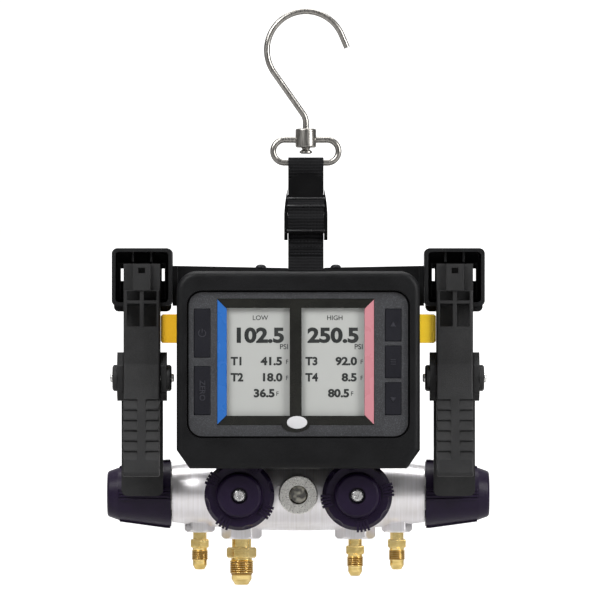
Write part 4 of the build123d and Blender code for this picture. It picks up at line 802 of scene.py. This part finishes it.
LEFT_KEYS_X, RIGHT_KEYS_X = -66.7 * MM, 56.1 * MM
flatten(power_sign(), LEFT_KEYS_X, -207.0 * MM, "power_sign", "power_key")
flatten(arrow_sign(True), RIGHT_KEYS_X, -201.8 * MM, "upper_sign", "upper_key")
menu = joined(bars([(0, 1.4), (0, 0), (0, -1.4)], (3.4, 0.6)))
flatten(menu, RIGHT_KEYS_X, -225.5 * MM, "middle_sign", "middle_key")
flatten(arrow_sign(False), RIGHT_KEYS_X, -249.2 * MM, "lower_sign", "lower_key")
zero = words("ZERO", 0, 0, 3.6, bold=0.1)
bpy.ops.object.transform_apply(location=True, rotation=True, scale=True)
zero.rotation_euler = (0, math.pi / 2, 0)
flatten(zero, LEFT_KEYS_X, -244.0 * MM, "zero_sign", "zero_key")
print("signs on five keys")

# %% [markdown]
# A small oval badge sits on the screen's lower tab. It is one disc stretched sideways, and its rim
# is rounded after the stretch, so that the round is even all the way. Its face stays bare.

# %% Oval badge
BADGE_X, BADGE_Z = -5.7 * MM, -264.4 * MM
BADGE_SIZE = (13.0 * MM, 0.9 * MM, 8.2 * MM)
select_none()
bpy.ops.mesh.primitive_cylinder_add(vertices=64, radius=0.5, depth=1, rotation=(math.pi / 2, 0, 0))
badge = bpy.context.object
badge.location = (BADGE_X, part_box("screen_frame")[0].y, BADGE_Z)
bpy.ops.object.transform_apply(location=False, rotation=True, scale=True)
badge.scale = BADGE_SIZE
bpy.ops.object.transform_apply(location=False, rotation=False, scale=True)
rim = badge.modifiers.new("round rim", "BEVEL")
rim.width, rim.segments, rim.limit_method = 0.3 * MM, 3, "ANGLE"
bpy.ops.object.modifier_apply(modifier=rim.name)
finishes["badge"] = flat_gloss("badge", colour(0.5, 0.5, 0.51), colour(0.54, 0.54, 0.55), 0.3)
settle(badge, "oval_badge", "unit", "badge")
print("badge", [round(side / MM, 1) for side in badge.dimensions])

# %% [markdown]
# The photograph is taken straight on from a little way off, so a long lens four metres off gives
# the same flat look. Four soft lamps stand in for a light tent: one from above at the left, one
# from the right, a low one in front that lifts the black plastics, and one overhead.

# %% Camera, lamps and room
VIEW_X, VIEW_Z = -3.8 * MM, -185.7 * MM
FIELD, AWAY = 390 * MM, 4.0
SENSOR, TENT_GLOW = 36, 0.66
HORIZON, OVERHEAD = (0.16, 0.158, 0.155, 1), (0.55, 0.55, 0.56, 1)


def lamp(name, place, size, power, towards=(0, 0, -0.2)):
    bpy.ops.object.light_add(type="AREA", location=place)
    made = bpy.context.object
    made.name = name
    made.data.shape = "RECTANGLE"
    made.data.size, made.data.size_y = size
    made.data.energy = power
    aim = Vector(towards) - Vector(place)
    made.rotation_euler = aim.to_track_quat("-Z", "Y").to_euler()


select_none()
bpy.ops.object.camera_add(location=(VIEW_X, -AWAY, VIEW_Z), rotation=(math.pi / 2, 0, 0))
camera = bpy.context.object
camera.data.sensor_width = SENSOR
camera.data.lens = SENSOR * AWAY / FIELD
camera.data.clip_start = 0.05
bpy.context.scene.camera = camera
lamp("key_lamp", (-0.7, -0.8, 0.6), (0.6, 0.6), 15)
lamp("side_lamp", (0.9, -0.6, 0.2), (0.35, 0.7), 11)
lamp("front_lamp", (0.1, -1.4, -0.55), (0.5, 0.2), 4.5)
lamp("top_lamp", (0.0, 0.15, 0.65), (0.8, 0.4), 7)

world = bpy.data.worlds.new("tent")
world.use_nodes = True
room = world.node_tree
rise = add_node(room, "SeparateXYZ", out=2, Vector=add_node(room, "TexCoord"))
stops = ((0.0, HORIZON), (0.55, OVERHEAD))
shades = add_node(room, "ValToRGB", {"stops": stops}, Fac=rise)
plug(room, room.nodes["Background"].inputs["Color"], shades)
plug(room, room.nodes["Background"].inputs["Strength"], TENT_GLOW)
bpy.context.scene.world = world
bpy.context.scene.view_settings.view_transform = "Standard"
print("field at the object", FIELD, "lens", round(camera.data.lens, 1))

# %% [markdown]
# A studio sweep is a roll of pale paper that lies on the table and rises behind the object. One
# plane is extruded up from its rear edge. The paper is dimmer near the object, where its glare
# would wash out the polished bar, and it glows further off, where it only has to look pale.

# %% A pale sweep behind and below
FLOOR_SIDE, FLOOR_Z, WALL_H = 14, -0.45, 4.5
select_none()
bpy.ops.mesh.primitive_plane_add(size=FLOOR_SIDE, location=(0, 0, FLOOR_Z))
sweep = bpy.context.object
sweep.name = "sweep"
bpy.ops.object.mode_set(mode="EDIT")
bpy.ops.mesh.select_all(action="DESELECT")
bpy.ops.object.mode_set(mode="OBJECT")
for edge in sweep.data.edges:
    edge.select = all(sweep.data.vertices[v].co.y > 0 for v in edge.vertices)
bpy.ops.object.mode_set(mode="EDIT")
bpy.ops.mesh.extrude_region_move(TRANSFORM_OT_translate={"value": (0, 0.4, 0.4)})
bpy.ops.mesh.extrude_region_move(TRANSFORM_OT_translate={"value": (0, 0, WALL_H)})
bpy.ops.object.mode_set(mode="OBJECT")
bpy.ops.object.transform_apply(location=True, rotation=True, scale=True)
pale = Finish("sweep_paper", roughness=0.9, specular_ior_level=0.1, emission_strength=1.0)
pale.set(base_color=pale.mix(pale.noise(3), colour(0.58, 0.575, 0.57), colour(0.62, 0.615, 0.61)))
spot = pale.place()
depth_in = pale.node("SeparateXYZ", Vector=spot, out=1)
sideways = pale.node("SeparateXYZ", Vector=spot, out=0).math("ABSOLUTE")
reach = pale.node("VectorMath", {"operation": "LENGTH"}, out=1, Vector=spot)
behind = pale.ramp(depth_in, 0.6, 1.6) * (1 - pale.ramp(sideways, 0.45, 0.8))
glow = behind.math("MAXIMUM", pale.ramp(reach, 1.3, 3.5) * 0.55)
pale.set(emission_color=pale.mix(glow, colour(0.0, 0.0, 0.0), colour(1, 1, 1)))
sweep.data.materials.append(pale.material)
